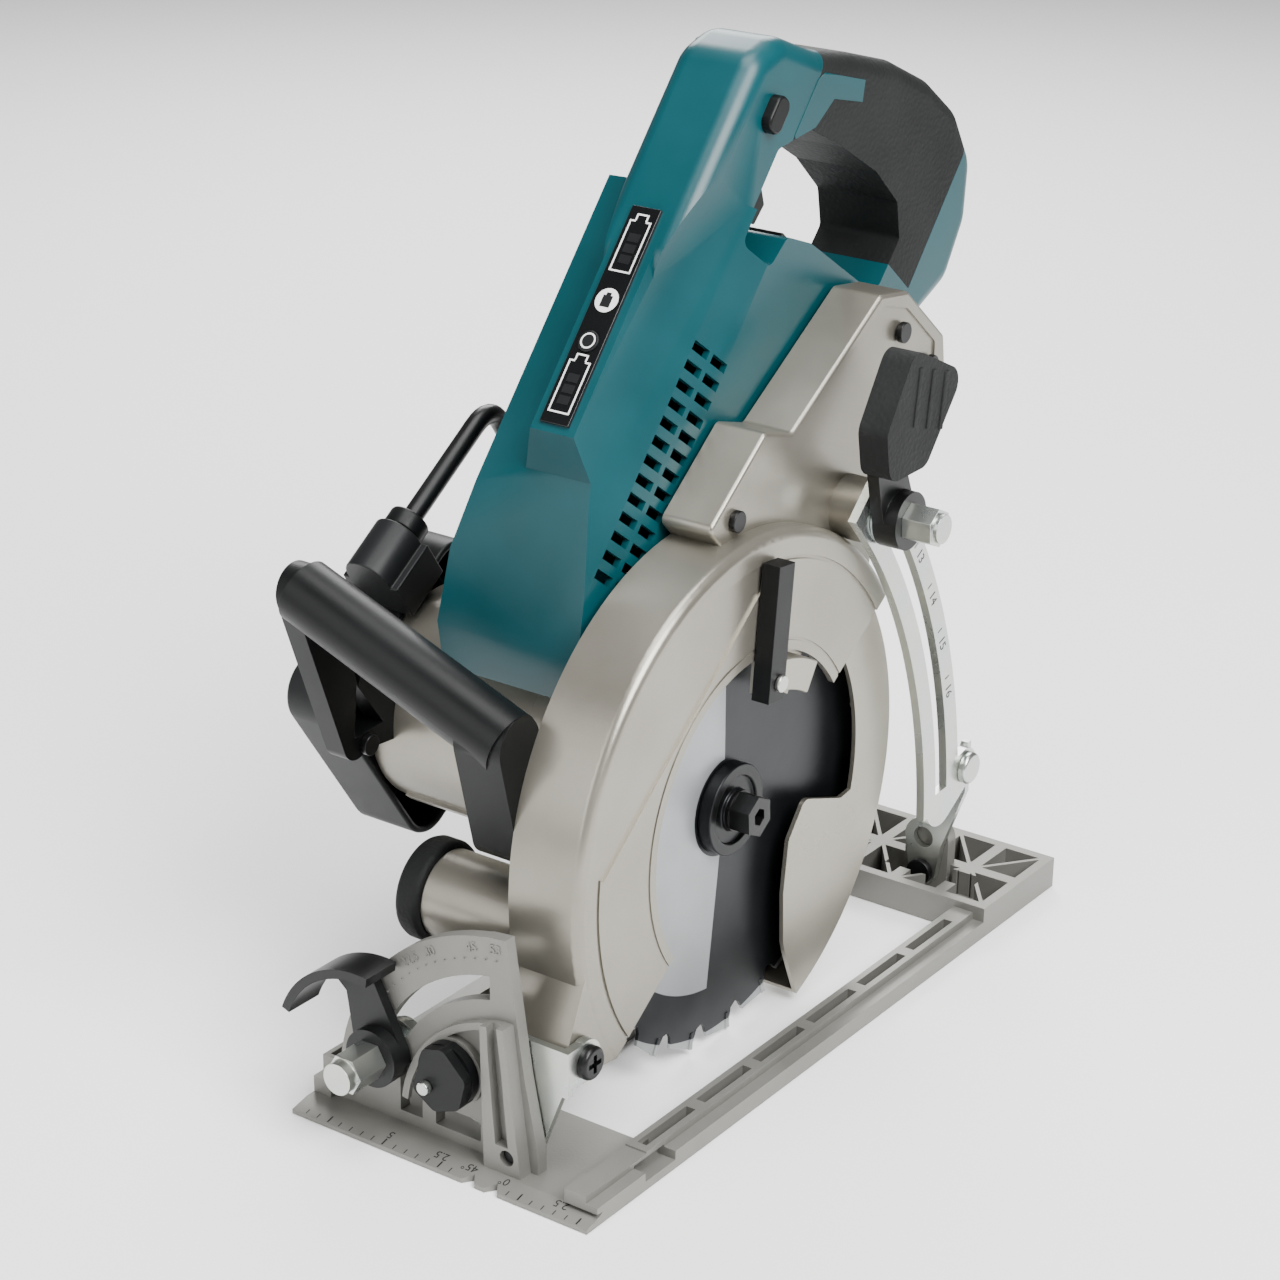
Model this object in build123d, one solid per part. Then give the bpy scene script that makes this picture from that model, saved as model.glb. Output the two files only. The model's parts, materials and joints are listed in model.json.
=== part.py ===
from build123d import *
from math import acos, asin, atan2, cos, degrees, hypot, pi, radians, sin, sqrt, tan
import os

# Cordless rear-handle circular saw with its blade on the left.
# World frame: +X forward, +Y to the blade side, +Z up, millimetres. The origin lies on the sole,
# on the cut line (the blade plane), straight below the depth pivot.
# The pieces are placed as the saw stands with its head raised, so that the blade clears the sole.

# ---------------------------------------------------------------- driving dimensions
RUNNING = 0.05              # radial clearance of a turning pin or a sliding button
GAP = 0.5                   # free space between faces that pass each other

# blade and spindle
BLADE_R = 95.0
BLADE_PLATE = 1.3
KERF = 2.0
BLADE_BORE_R = 15.0
TEETH = 24
GULLET = 9.0
FLANGE_R = 17.5
FLANGE_T = 5.5
SPINDLE_R = 7.5
TAIL_R = 6.0                # rear journal of the spindle
BOLT_HOLE_R = 4.0
BOLT_HEX = 14.0
BOLT_HEAD = 10.0
MAX_CUT = 68.5
BLADE_LIFT = 0.6            # blade above the sole when the head is raised

# gear train
MODULE = 0.8
PINION_TEETH = 12
GEAR_TEETH = 48
BACKLASH = 0.35
PRESSURE = 20.0

# base
BASE_LENGTH = 325.0
BASE_FRONT = 31.5           # front edge ahead of the depth pivot
BASE_LEFT = 41.0            # cut line to the left edge
BASE_RIGHT = 90.0           # cut line to the right edge
SOLE_T = 3.5
FRONT_LAND = 55.0           # solid length ahead of the blade opening
OPEN_LEFT = 27.0            # blade opening, to the left and right of the cut line
OPEN_RIGHT = 24.0
RAIL_H = 10.0
CROSS_AHEAD = 23.5          # front edge of the cross-member ahead of the rear lug
CROSS_H = 13.0
WALL = 3.0
FENCE_W = 18.0              # slot that takes the bar of a rip fence
FENCE_H = 4.4

# bevel mechanism
BEVEL_AXIS_Z = 10.0
BEVEL_MAX = 53.0
QUAD_R = 80.0
QUAD_T = 5.0
QUAD_X = 11.5               # back face of the quadrant
SLOT_R = 61.0
CLAMP_R = 4.0
CLAMP_ANGLE = 20.5          # clamp bolt above the horizontal, seen from the front
PIN_R = 3.0
PLATE_T = 3.0
LUG_H = 33.0
REAR_LUG_X = -259.0
REAR_LUG_T = 6.0

# depth mechanism
DEPTH_PIVOT_Z = 44.0
PIVOT_GAP = 11.2            # depth pivot outside the rim of the blade case
EAR_Y = 14.0
EAR_T = 3.5
EYE_R = 7.5
PIVOT_R = 4.0
BOSS_GAP = 12.7             # depth bolt outside the rim of the blade case
BOSS_ANGLE = 20.3           # depth bolt above the rear horizontal of the head
BOSS_R = 12.0
ARM_Y = 18.0
ARM_T = 3.5
ARM_BAND = 9.0

# blade case and lower guard
CASE_GAP = 12.0
CASE_WALL = 2.5
CASE_BACK = -16.0
CASE_FACE = 14.0
CASE_SWEEP = 182.0
CASE_HOLE_R = 62.0
GUARD_GAP = 4.5
GUARD_HALF = 10.0
GUARD_T = 1.8
NOSE_R = 20.0
LEVER_ANGLE = 50.4
GUARD_START = -101.0
GUARD_SWEEP = 153.0

# motor
MOTOR_R = 42.0
MOTOR_WALL = 3.0
MOTOR_NEAR = -50.0
MOTOR_FAR = -120.0
COVER_FAR = -148.0
COVER_PROUD = 3.0           # end cover beyond the barrel
STATOR_T = 11.5
AIR_GAP = 0.7
FAN_GAP = 3.0
SHAFT_R = 5.0

# battery body and handle
BODY_PITCH = 16.0           # rise of the body in the working pose
BODY_LEFT = -18.0
BODY_RIGHT = -82.0
SEAM_Y = -41.0
SHELL = 2.5
HANDLE_HALF = 18.0
BAY_A = 60.0
BAY_LENGTH = 66.0
BAY_RIB = 4.0
BAY_LOW = -14.0
BAY_HIGH = 62.0
BAY_DEPTH = 48.0

# controls
TRIGGER_TRAVEL = 6.0
LOCKOFF_TRAVEL = 3.0
BUTTON_TRAVEL = 0.8
LOCK_TRAVEL = 4.0

KNOB_STEM_R = 4.0

# ---------------------------------------------------------------- places worked out from them
CASE_R = BLADE_R + CASE_GAP
SWING_R = CASE_R + PIVOT_GAP
ARBOR_HIGH = BLADE_R + BLADE_LIFT
ARBOR_LOW = BLADE_R - MAX_CUT
RISE = asin((ARBOR_HIGH - DEPTH_PIVOT_Z) / SWING_R)
DROP = asin((DEPTH_PIVOT_Z - ARBOR_LOW) / SWING_R)
LIFT = degrees(RISE + DROP)
ARBOR_X = -SWING_R * cos(RISE)
PIVOT_REAR = -SWING_R * cos(DROP)
PIVOT_UP = SWING_R * sin(DROP)
GUARD_R = CASE_R - CASE_WALL - GUARD_GAP
MOTOR_UP = MODULE * (PINION_TEETH + GEAR_TEETH) / 2
BASE_REAR = BASE_FRONT - BASE_LENGTH
LAND_X = BASE_FRONT - FRONT_LAND
CROSS_X = REAR_LUG_X + CROSS_AHEAD
CROSS_LENGTH = CROSS_X - BASE_REAR
BOSS_REAR = (CASE_R + BOSS_GAP) * cos(radians(BOSS_ANGLE))
BOSS_UP = (CASE_R + BOSS_GAP) * sin(radians(BOSS_ANGLE))
ARM_R = hypot(BOSS_REAR - PIVOT_REAR, BOSS_UP - PIVOT_UP)
BOLT_LINE = degrees(atan2(BOSS_UP - PIVOT_UP, BOSS_REAR - PIVOT_REAR)) + LIFT
CLAMP_Y = -SLOT_R * cos(radians(CLAMP_ANGLE))
CLAMP_Z = BEVEL_AXIS_Z + SLOT_R * sin(radians(CLAMP_ANGLE))
BRACKET_X = QUAD_X - GAP

HEAD = Location((ARBOR_X, 0, ARBOR_HIGH), (0, LIFT, 0))
BODY = HEAD * Location((0, 0, 0), (0, BODY_PITCH, 0))
SWING = Location((0, 0, DEPTH_PIVOT_Z))
TILT = Location((0, 0, BEVEL_AXIS_Z))
SIDE = Plane(origin=(0, 0, 0), x_dir=(-1, 0, 0), z_dir=(0, 1, 0))


# ---------------------------------------------------------------- helpers
def side(outline, y_from, y_to):
    """Extrude a side outline, drawn rearwards and up, from y_from to y_to."""
    return extrude(SIDE.offset(y_from) * outline, amount=y_to - y_from)


def front(outline, x_from, x_to):
    """Extrude a front outline, drawn left and up, from x_from to x_to."""
    return extrude(Plane.YZ.offset(x_from) * outline, amount=x_to - x_from)


def plan(outline, z_from, z_to):
    """Extrude a plan outline, drawn forward and left, from z_from to z_to."""
    return extrude(Plane.XY.offset(z_from) * outline, amount=z_to - z_from)


def disc(radius, rear=0.0, up=0.0):
    """Circle in an outline."""
    return Pos(rear, up) * Circle(radius)


def bar(radius, y_from, y_to, rear=0.0, up=0.0):
    """Round bar along Y."""
    return side(disc(radius, rear, up), y_from, y_to)


def tube(outer, inner, y_from, y_to, rear=0.0, up=0.0):
    """Round tube along Y."""
    return side(disc(outer, rear, up) - disc(inner, rear, up), y_from, y_to)


def rod(radius, x_from, x_to, y, z):
    """Round bar along X."""
    return front(disc(radius, y, z), x_from, x_to)


def shape(points, rounding=0.0):
    """Closed outline through the points, with every corner rounded."""
    outline = make_face(Polyline(*points, close=True))
    if rounding > 0:
        outline = fillet(outline.vertices(), rounding)
    return outline


def block(x_from, x_to, y_from, y_to, z_from, z_to):
    """Box between two corners."""
    size = Box(x_to - x_from, y_to - y_from, z_to - z_from)
    return Pos((x_from + x_to) / 2, (y_from + y_to) / 2, (z_from + z_to) / 2) * size


def sector(inner, outer, start, sweep):
    """Ring sector about the local origin, angles counted from local x."""
    outside = CenterArc((0, 0), outer, start, sweep)
    inside = CenterArc((0, 0), inner, start, sweep)
    first = Line(inside @ 0, outside @ 0)
    last = Line(outside @ 1, inside @ 1)
    return make_face(outside + last + inside + first)


def polar(radius, angle):
    """Point at a radius and an angle in degrees."""
    return (radius * cos(radians(angle)), radius * sin(radians(angle)))


def hexagon(across):
    """Hexagon by its width across flats."""
    return RegularPolygon(across / 2, 6, major_radius=False)


def round_off(solid, edges, radius):
    """Fillet the edges, a little less where the full radius has no room."""
    for size in (radius, radius * 0.75, radius * 0.5, radius * 0.3):
        try:
            return fillet(edges, size)
        except (ValueError, RuntimeError):
            continue
    return solid


def rim_edges(solid, level, radius):
    """Round edges of a solid about the local Y axis, at one level along Y."""
    near = [e for e in solid.edges().filter_by(GeomType.CIRCLE) if abs(e.center().Y - level) < 0.01]
    return [e for e in near if abs(e.radius - radius) < 0.01]


def level_edges(solid, levels):
    """Edges that lie at one of the levels along Y."""
    ends = [(e, e.bounding_box()) for e in solid.edges()]
    return [e for e, b in ends if b.size.Y < 0.01 and any(abs(b.min.Y - v) < 0.01 for v in levels)]


def link(points, radii):
    """Convex plate outline round a few circles."""
    return make_hull([Pos(*p) * Edge.make_circle(r) for p, r in zip(points, radii)])


def gear_outline(teeth, phase):
    """Involute spur gear outline; phase turns it, in degrees."""
    pitch_r = MODULE * teeth / 2
    base_r = pitch_r * cos(radians(PRESSURE))
    tip_r = pitch_r + 0.85 * MODULE
    root_r = pitch_r - 1.25 * MODULE
    half = (pi * MODULE / 2 - BACKLASH) / (2 * pitch_r)
    roll = tan(radians(PRESSURE)) - radians(PRESSURE)
    flank = [(root_r, half + roll)]
    for step in range(4):
        r = max(base_r, root_r) + (tip_r - max(base_r, root_r)) * step / 3
        turn = acos(min(1.0, base_r / r))
        flank.append((r, half + roll - (tan(turn) - turn)))
    points = []
    for tooth in range(teeth):
        middle = 2 * pi * tooth / teeth + radians(phase)
        for r, wide in flank:
            points.append((r * cos(middle - wide), r * sin(middle - wide)))
        for r, wide in reversed(flank):
            points.append((r * cos(middle + wide), r * sin(middle + wide)))
    return shape(points)


parts = {}


# ---------------------------------------------------------------- base
def make_base():
    land = block(LAND_X, BASE_FRONT, -BASE_RIGHT, BASE_LEFT, 0, SOLE_T)
    right = block(BASE_REAR, BASE_FRONT, -BASE_RIGHT, -OPEN_RIGHT, 0, SOLE_T)
    rail = block(BASE_REAR, BASE_FRONT - 6, OPEN_LEFT, BASE_LEFT, 0, RAIL_H)
    rail -= block(-10, 14, OPEN_LEFT - 1, BASE_LEFT + 1, RAIL_H - 0.8, RAIL_H + 1)
    right_rail = block(BASE_REAR, BASE_FRONT - 12, -BASE_RIGHT, -BASE_RIGHT + 8, 0, RAIL_H - 2)
    right_rail += block(LAND_X, BASE_FRONT - 12, -BASE_RIGHT, -BASE_RIGHT + 8, 0, RAIL_H)
    cross = block(BASE_REAR, CROSS_X, -BASE_RIGHT, BASE_LEFT, 0, CROSS_H)
    rail -= block(BASE_REAR + 4, BASE_FRONT, BASE_LEFT - 5, BASE_LEFT + 1, 7, RAIL_H + 1)
    for index in range(6):
        x_low = CROSS_X + 12 + 36 * index
        rail -= block(x_low, x_low + 30, OPEN_LEFT + 2.5, BASE_LEFT - 7.5, 3, RAIL_H + 1)
    base = land + right + rail + right_rail + cross
    # the rear cross member is an open lattice: two rows of pockets with diagonal ribs between them
    cells = 6
    cell_w = (BASE_LEFT + BASE_RIGHT - WALL) / cells
    cell_l = (CROSS_LENGTH - 3 * WALL) / 2
    for row in range(2):
        x_low = BASE_REAR + WALL + row * (cell_l + WALL)
        for column in range(cells):
            y_low = -BASE_RIGHT + WALL + column * cell_w
            y_high = y_low + cell_w - WALL
            corners = [(x_low, y_low), (x_low + cell_l, y_low), (x_low + cell_l, y_high), (x_low, y_high)]
            if (row + column) % 2:
                corners = corners[1:] + corners[:1]
            cut = 2.2
            lower = [corners[0], corners[1], corners[2]]
            upper = [corners[2], corners[3], corners[0]]
            for trio in (lower, upper):
                cx = sum(p[0] for p in trio) / 3
                cy = sum(p[1] for p in trio) / 3
                shrunk = [(cx + (p[0] - cx) * 0.84, cy + (p[1] - cy) * 0.84) for p in trio]
                base -= plan(shape(shrunk), cut, CROSS_H + 1)
    # rear lug for the bevel pivot, with its rounded top
    lug = link([(0, BEVEL_AXIS_Z), (0, LUG_H - 10)], [BEVEL_AXIS_Z, 10])
    lug += Pos(0, 4) * Rectangle(20, 8)
    base += front(lug, REAR_LUG_X - REAR_LUG_T, REAR_LUG_X)
    base -= block(REAR_LUG_X, REAR_LUG_X + 11, -13, 27, 2.6, CROSS_H + 1)
    # front quadrant with its arc slot, post and stiffening ribs
    quad_back = QUAD_X
    quad_front = QUAD_X + QUAD_T
    wall = sector(1.0, QUAD_R, 94, 86) + sector(SLOT_R + 4.5, QUAD_R, 180, 5)
    wall = Pos(0, BEVEL_AXIS_Z) * wall
    foot_y = QUAD_R * cos(radians(5))
    wall += shape([(-foot_y, 0), (9, 0), (9, 12), (3, 40), (-5, 90), (-14, 89), (-20, 60), (-20, 12), (-foot_y, 10)])
    wall &= Pos(-40, 45) * Rectangle(104, 90)
    base += front(wall, quad_back, quad_front)
    slot = Pos(0, BEVEL_AXIS_Z) * sector(SLOT_R - CLAMP_R - GAP, SLOT_R + CLAMP_R + GAP, 180 - 80, 64)
    base -= front(slot, quad_back - 1, quad_front + 4)
    base -= front(disc(CLAMP_R + GAP, CLAMP_Y, CLAMP_Z), quad_back - 1, quad_front + 4)
    inner_rib = Pos(0, BEVEL_AXIS_Z) * sector(SLOT_R - 14.5, SLOT_R - 11.8, 98, 75)
    base += front(inner_rib, quad_front, quad_front + 3)
    post = shape([(-10, SOLE_T), (6, SOLE_T), (1, 40), (-5.5, 88), (-12, 88), (-11.5, 50)])
    swept = Pos(0, BEVEL_AXIS_Z) * sector(SLOT_R - 11.6, SLOT_R + 80, 60, 125)
    base += front(post, quad_back, quad_front) + front(post - swept, quad_front, quad_front + 6)
    groove = shape([(-5, 14), (0.5, 14), (-2.5, 44), (-7.5, 82), (-10, 82), (-8, 46)])
    base -= front(groove - swept, quad_front + 2, quad_front + 7)
    # pockets beside the stop knob boss
    base += front(disc(13, -26, 34), quad_front, quad_front + 3)
    for y_low, y_high, z_low, z_high in ((-52, -42, 8, 30), (-36, -16, 8, 16)):
        base -= front(Pos((y_low + y_high) / 2, (z_low + z_high) / 2) * Rectangle(y_high - y_low, z_high - z_low),
                      quad_back - 1, quad_front + 1)
    box_rib = block(quad_back - 6, quad_front, -88, -62, SOLE_T, 18)
    box_rib -= block(quad_back - 4, quad_front - 2, -86, -64, SOLE_T + 1, 19)
    base += box_rib
    base -= front(disc(PIN_R, 0, BEVEL_AXIS_Z), 0, quad_front + 7)
    base -= front(disc(PIN_R, 0, BEVEL_AXIS_Z), REAR_LUG_X - REAR_LUG_T - 1, REAR_LUG_X + 1)
    base -= front(disc(KNOB_STEM_R + RUNNING, -26, 34), quad_back - 1, quad_front + 4)
    # slot for the bar of a rip fence through both rails, and the sight notches at the front edge
    fence_x = LAND_X + 3
    base -= block(fence_x, fence_x + FENCE_W, -BASE_RIGHT - 1, BASE_LEFT + 1, SOLE_T, SOLE_T + FENCE_H)
    for notch_y in (0, -BEVEL_AXIS_Z):
        base -= plan(shape([(BASE_FRONT + 1, notch_y - 3.5), (BASE_FRONT + 1, notch_y + 3.5), (BASE_FRONT - 4, notch_y)]),
                     -1, SOLE_T + 1)
    bevel = Plane.XZ.offset(-BASE_LEFT - 1) * make_face(
        Polyline((BASE_FRONT + 1, SOLE_T + 1), (BASE_FRONT - 9, SOLE_T + 1), (BASE_FRONT - 8, SOLE_T),
                 (BASE_FRONT + 1, SOLE_T - 2), close=True))
    base -= extrude(bevel, amount=BASE_LEFT + BASE_RIGHT + 2)
    return base


parts["base_plate"] = make_base()
pin_front = rod(PIN_R, BRACKET_X - PLATE_T - 1, QUAD_X + QUAD_T + 4, 0, BEVEL_AXIS_Z)
pin_rear = rod(PIN_R, REAR_LUG_X - REAR_LUG_T, REAR_LUG_X + PLATE_T + 1.5, 0, BEVEL_AXIS_Z)
pin_rear += rod(PIN_R + 2.5, REAR_LUG_X + PLATE_T + 0.5 + RUNNING, REAR_LUG_X + PLATE_T + 3.5, 0, BEVEL_AXIS_Z)
parts["bevel_pivot_pins"] = Compound([pin_front, pin_rear])

knob_x = QUAD_X + QUAD_T + 3
knob = front(shape([(-37.5, 27), (-33, 44), (-24, 46.5), (-14, 37), (-17, 25), (-28, 21)], 3), knob_x + 0.3, knob_x + 8)
knob += rod(12, knob_x + 0.3, knob_x + 4, -26, 34)
knob += rod(KNOB_STEM_R, QUAD_X - 0.2, knob_x + 1, -26, 34)
parts["bevel_stop_knob"] = knob
parts["bevel_stop_pin"] = rod(2.5, knob_x + 8, knob_x + 11, -31, 30)

# ---------------------------------------------------------------- tilting frame
bracket_back = BRACKET_X - PLATE_T
plate = link([(0, BEVEL_AXIS_Z), (CLAMP_Y, CLAMP_Z)], [6, 8.5])
plate += shape([(-EAR_Y - EAR_T, 34), (EAR_Y + EAR_T, 34), (EAR_Y + EAR_T, DEPTH_PIVOT_Z + EYE_R),
                (-EAR_Y - EAR_T, DEPTH_PIVOT_Z + EYE_R)])
plate += shape([(-6, BEVEL_AXIS_Z), (6, BEVEL_AXIS_Z), (15, 34), (-17, 34)])
bracket = front(plate, bracket_back, BRACKET_X)
ear = link([(0, DEPTH_PIVOT_Z)], [EYE_R + 0.5]) + Pos(-BRACKET_X / 2, DEPTH_PIVOT_Z) * Rectangle(BRACKET_X, 2 * EYE_R)
bracket += side(ear, EAR_Y, EAR_Y + EAR_T)
bracket += side(ear, -EAR_Y - EAR_T, -EAR_Y)
bracket -= bar(PIVOT_R, -EAR_Y - EAR_T - 1, EAR_Y + EAR_T + 1, 0, DEPTH_PIVOT_Z)
bracket -= rod(PIN_R + RUNNING, 0, BRACKET_X + 1, 0, BEVEL_AXIS_Z)
bracket -= rod(CLAMP_R, 0, BRACKET_X + 1, CLAMP_Y, CLAMP_Z)
parts["tilt_bracket"] = bracket

pivot_screw = bar(PIVOT_R, -EAR_Y - EAR_T, EAR_Y + EAR_T, 0, DEPTH_PIVOT_Z)
pivot_screw += bar(6.2, EAR_Y + EAR_T, EAR_Y + EAR_T + 3.5, 0, DEPTH_PIVOT_Z)
pivot_screw = fillet(pivot_screw.edges().sort_by(Axis.Y)[-1], 1.5)
recess = Pos(0, DEPTH_PIVOT_Z) * (Rectangle(7, 1.8) + Rectangle(1.8, 7))
pivot_screw -= side(recess, EAR_Y + EAR_T + 1.5, EAR_Y + EAR_T + 5)
parts["depth_pivot_screw"] = pivot_screw
nut = side(Pos(0, DEPTH_PIVOT_Z) * hexagon(13), -EAR_Y - EAR_T - 6, -EAR_Y - EAR_T)
parts["depth_pivot_nut"] = nut

LEVER_X = QUAD_X + QUAD_T + 1.2
clamp_bolt = rod(CLAMP_R, BRACKET_X - PLATE_T, LEVER_X + 22, CLAMP_Y, CLAMP_Z)
clamp_bolt += rod(7.5, BRACKET_X - PLATE_T - 3, BRACKET_X - PLATE_T, CLAMP_Y, CLAMP_Z)
parts["bevel_clamp_bolt"] = clamp_bolt
washer = rod(8, QUAD_X + QUAD_T + 0.1, LEVER_X - 0.1, CLAMP_Y, CLAMP_Z)
washer -= rod(CLAMP_R + RUNNING, 0, LEVER_X + 1, CLAMP_Y, CLAMP_Z)
parts["bevel_clamp_washer"] = washer
BEVEL_HUB = 9.0
arm = link([(CLAMP_Y, CLAMP_Z), (CLAMP_Y - 8, CLAMP_Z + 24)], [11, 7])
lever = front(arm, LEVER_X, LEVER_X + 4)
lever += rod(11, LEVER_X, LEVER_X + BEVEL_HUB, CLAMP_Y, CLAMP_Z)
paddle = Pos(CLAMP_Y, CLAMP_Z) * sector(33, 36.5, 82, 78)
lever += front(paddle, LEVER_X, LEVER_X + 16)
web = link([(CLAMP_Y - 8, CLAMP_Z + 24), (CLAMP_Y - 17, CLAMP_Z + 29)], [7, 5])
lever += front(web & (Pos(CLAMP_Y, CLAMP_Z) * Circle(35)), LEVER_X, LEVER_X + 4)
lever -= rod(CLAMP_R + RUNNING, 0, LEVER_X + 40, CLAMP_Y, CLAMP_Z)
parts["bevel_lever"] = lever
nut = front(Pos(CLAMP_Y, CLAMP_Z) * hexagon(13), LEVER_X + BEVEL_HUB, LEVER_X + BEVEL_HUB + 14)
nut -= rod(CLAMP_R + RUNNING, 0, LEVER_X + 22.5, CLAMP_Y, CLAMP_Z)
nut += rod(6, LEVER_X + BEVEL_HUB + 14, LEVER_X + BEVEL_HUB + 18, CLAMP_Y, CLAMP_Z)
parts["bevel_lever_nut"] = nut

# rear swivel bracket, depth arm and its pin; the arm's slot is an arc about the depth pivot
SLOT_LOW = BOLT_LINE - LIFT - 0.6
SLOT_HIGH = BOLT_LINE + 0.6
arm_rear = Pos(0, DEPTH_PIVOT_Z) * sector(ARM_R - CLAMP_R - ARM_BAND, ARM_R + CLAMP_R + ARM_BAND, SLOT_LOW - 3, SLOT_HIGH - SLOT_LOW + 6.2)
pin_rear_x, pin_up = polar(ARM_R + 19, SLOT_LOW - 0.5)
tail = link([(ARM_R * cos(radians(SLOT_LOW - 2)), DEPTH_PIVOT_Z + ARM_R * sin(radians(SLOT_LOW - 2))),
             (pin_rear_x, DEPTH_PIVOT_Z + pin_up)], [11, 8])
arm_rear += tail
arm_slot = Pos(0, DEPTH_PIVOT_Z) * sector(ARM_R - CLAMP_R - GAP / 2, ARM_R + CLAMP_R + GAP / 2, SLOT_LOW - 1, SLOT_HIGH - SLOT_LOW + 2)
depth_arm = side(arm_rear, ARM_Y, ARM_Y + ARM_T) - side(arm_slot, ARM_Y - 1, ARM_Y + ARM_T + 1)
depth_arm -= bar(3, ARM_Y - 1, ARM_Y + ARM_T + 1, pin_rear_x, DEPTH_PIVOT_Z + pin_up)
parts["depth_arm"] = depth_arm
ARM_PIN_X = -pin_rear_x
ARM_PIN_Z = DEPTH_PIVOT_Z + pin_up
arm_pin = bar(3, ARM_Y - PLATE_T - 2, ARM_Y + ARM_T + 1, pin_rear_x, ARM_PIN_Z)
arm_pin += bar(6.5, ARM_Y + ARM_T, ARM_Y + ARM_T + 3.5, pin_rear_x, ARM_PIN_Z)
parts["arm_pin"] = fillet(arm_pin.edges().sort_by(Axis.Y)[-1], 1.5)
swivel_x = REAR_LUG_X + 0.3
eye = link([(0, BEVEL_AXIS_Z), (0, 25)], [6.2, 8.5])
eye -= disc(4.5, 0, 25)
eye += shape([(4, 29), (8.4, 23), (ARM_Y, ARM_PIN_Z - 15), (ARM_Y, ARM_PIN_Z + 7), (ARM_Y - PLATE_T, ARM_PIN_Z + 7)])
swivel = front(eye, swivel_x, swivel_x + PLATE_T)
swivel -= rod(PIN_R + RUNNING, swivel_x - 1, swivel_x + PLATE_T + 1, 0, BEVEL_AXIS_Z)
wing = link([(pin_rear_x, ARM_PIN_Z), (-swivel_x - PLATE_T / 2, ARM_PIN_Z - 6)], [6.9, 1.5])
wing += shape([(-swivel_x - PLATE_T, ARM_PIN_Z - 14), (-swivel_x, ARM_PIN_Z - 14), (-swivel_x, ARM_PIN_Z + 7),
               (-swivel_x - PLATE_T, ARM_PIN_Z + 7)])
swivel += side(wing, ARM_Y - PLATE_T, ARM_Y)
swivel -= bar(3, 0, ARM_Y + 1, pin_rear_x, ARM_PIN_Z)
parts["rear_swivel_bracket"] = swivel


# ---------------------------------------------------------------- blade case
def body_outline(points, rounding=0.0):
    """Outline drawn along and square to the battery body."""
    return Rot(0, 0, BODY_PITCH) * shape(points, rounding)


ARM_EDGE = [(74, 88), (117, 79), (124, 63), (190, 42), (200, 26), (200, -11), (192, -20), (130, -10),
            (108, -26), (92, -20), (70, 40)]
half_case = sector(NOSE_R + 1, CASE_R, 0, CASE_SWEEP)
case = side(half_case, CASE_BACK, CASE_BACK + CASE_WALL)
case += side(sector(CASE_R - CASE_WALL, CASE_R, 0, CASE_SWEEP), CASE_BACK, CASE_FACE)
case += side(sector(CASE_HOLE_R, CASE_R, 0, CASE_SWEEP), CASE_FACE - CASE_WALL, CASE_FACE)
case += tube(NOSE_R + 18, NOSE_R + 1, CASE_BACK, CASE_BACK + CASE_WALL)
case = round_off(case, rim_edges(case, CASE_FACE, CASE_R), 4.0)
case -= side(sector(CASE_R - 11.5, CASE_R - 10.0, 0, CASE_SWEEP), CASE_FACE - 0.8, CASE_FACE + 1)
case -= side(sector(CASE_HOLE_R + 3.5, CASE_HOLE_R + 4.7, 0, CASE_SWEEP), CASE_FACE - 0.5, CASE_FACE + 1)
arm_face = body_outline(ARM_EDGE, 3)
arm_core = body_outline([(78, 82), (115, 75), (121, 60), (187, 39), (196, 24), (196, -9), (190, -16),
                         (131, -6), (108, -22), (96, -16), (75, 40)], 2)
cavity = bar(CASE_R - CASE_WALL, CASE_BACK + CASE_WALL, CASE_FACE - CASE_WALL)
arm_solid = side(arm_face, CASE_BACK, 5) - side(arm_core, CASE_BACK - 1, 2)
arm_solid = round_off(arm_solid, level_edges(arm_solid, [5]), 1.5)
field = body_outline([(126, 58), (188, 38), (195, 22), (195, -6), (188, -12), (140, -6), (136, 24)], 3)
arm_solid -= side(field, 4.2, 6)
case += arm_solid - bar(CASE_R - CASE_WALL, CASE_BACK - 1, CASE_FACE)
case += bar(BOSS_R, CASE_BACK, ARM_Y - 0.5, BOSS_REAR, BOSS_UP)
lug = link([(PIVOT_REAR, PIVOT_UP), (-CASE_R + 12, PIVOT_UP + 16), (-CASE_R + 12, -6)], [EYE_R, 6, 5])
lug_solid = side(lug, -EAR_Y + GAP, EAR_Y - GAP)
lug_solid -= bar(CASE_R - CASE_WALL, -EAR_Y, EAR_Y)
case += lug_solid
case -= bar(PIVOT_R + RUNNING, -EAR_Y - 1, EAR_Y + 1, PIVOT_REAR, PIVOT_UP)
case -= bar(CLAMP_R, -10, ARM_Y + 1, BOSS_REAR, BOSS_UP)
PORT_REAR, PORT_UP = polar(CASE_R - 16, 156)
PORT_R = 14.0
case -= bar(PORT_R - 1, CASE_BACK - 1, CASE_BACK + CASE_WALL + 1, PORT_REAR, PORT_UP)
step = shape([(64, 73.5), (-71, 61), (-90, 120), (90, 120)]) & disc(CASE_R - 11.4)
case -= side(step - disc(CASE_HOLE_R + 4), CASE_FACE - 0.8, CASE_FACE + 1)
parts["blade_case"] = HEAD * case

nozzle = tube(16.5, PORT_R, -56, CASE_BACK, PORT_REAR, PORT_UP)
parts["dust_nozzle"] = HEAD * nozzle
ring = tube(19, PORT_R + 0.5, -66, -56, PORT_REAR, PORT_UP)
parts["dust_ring"] = HEAD * ring

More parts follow.
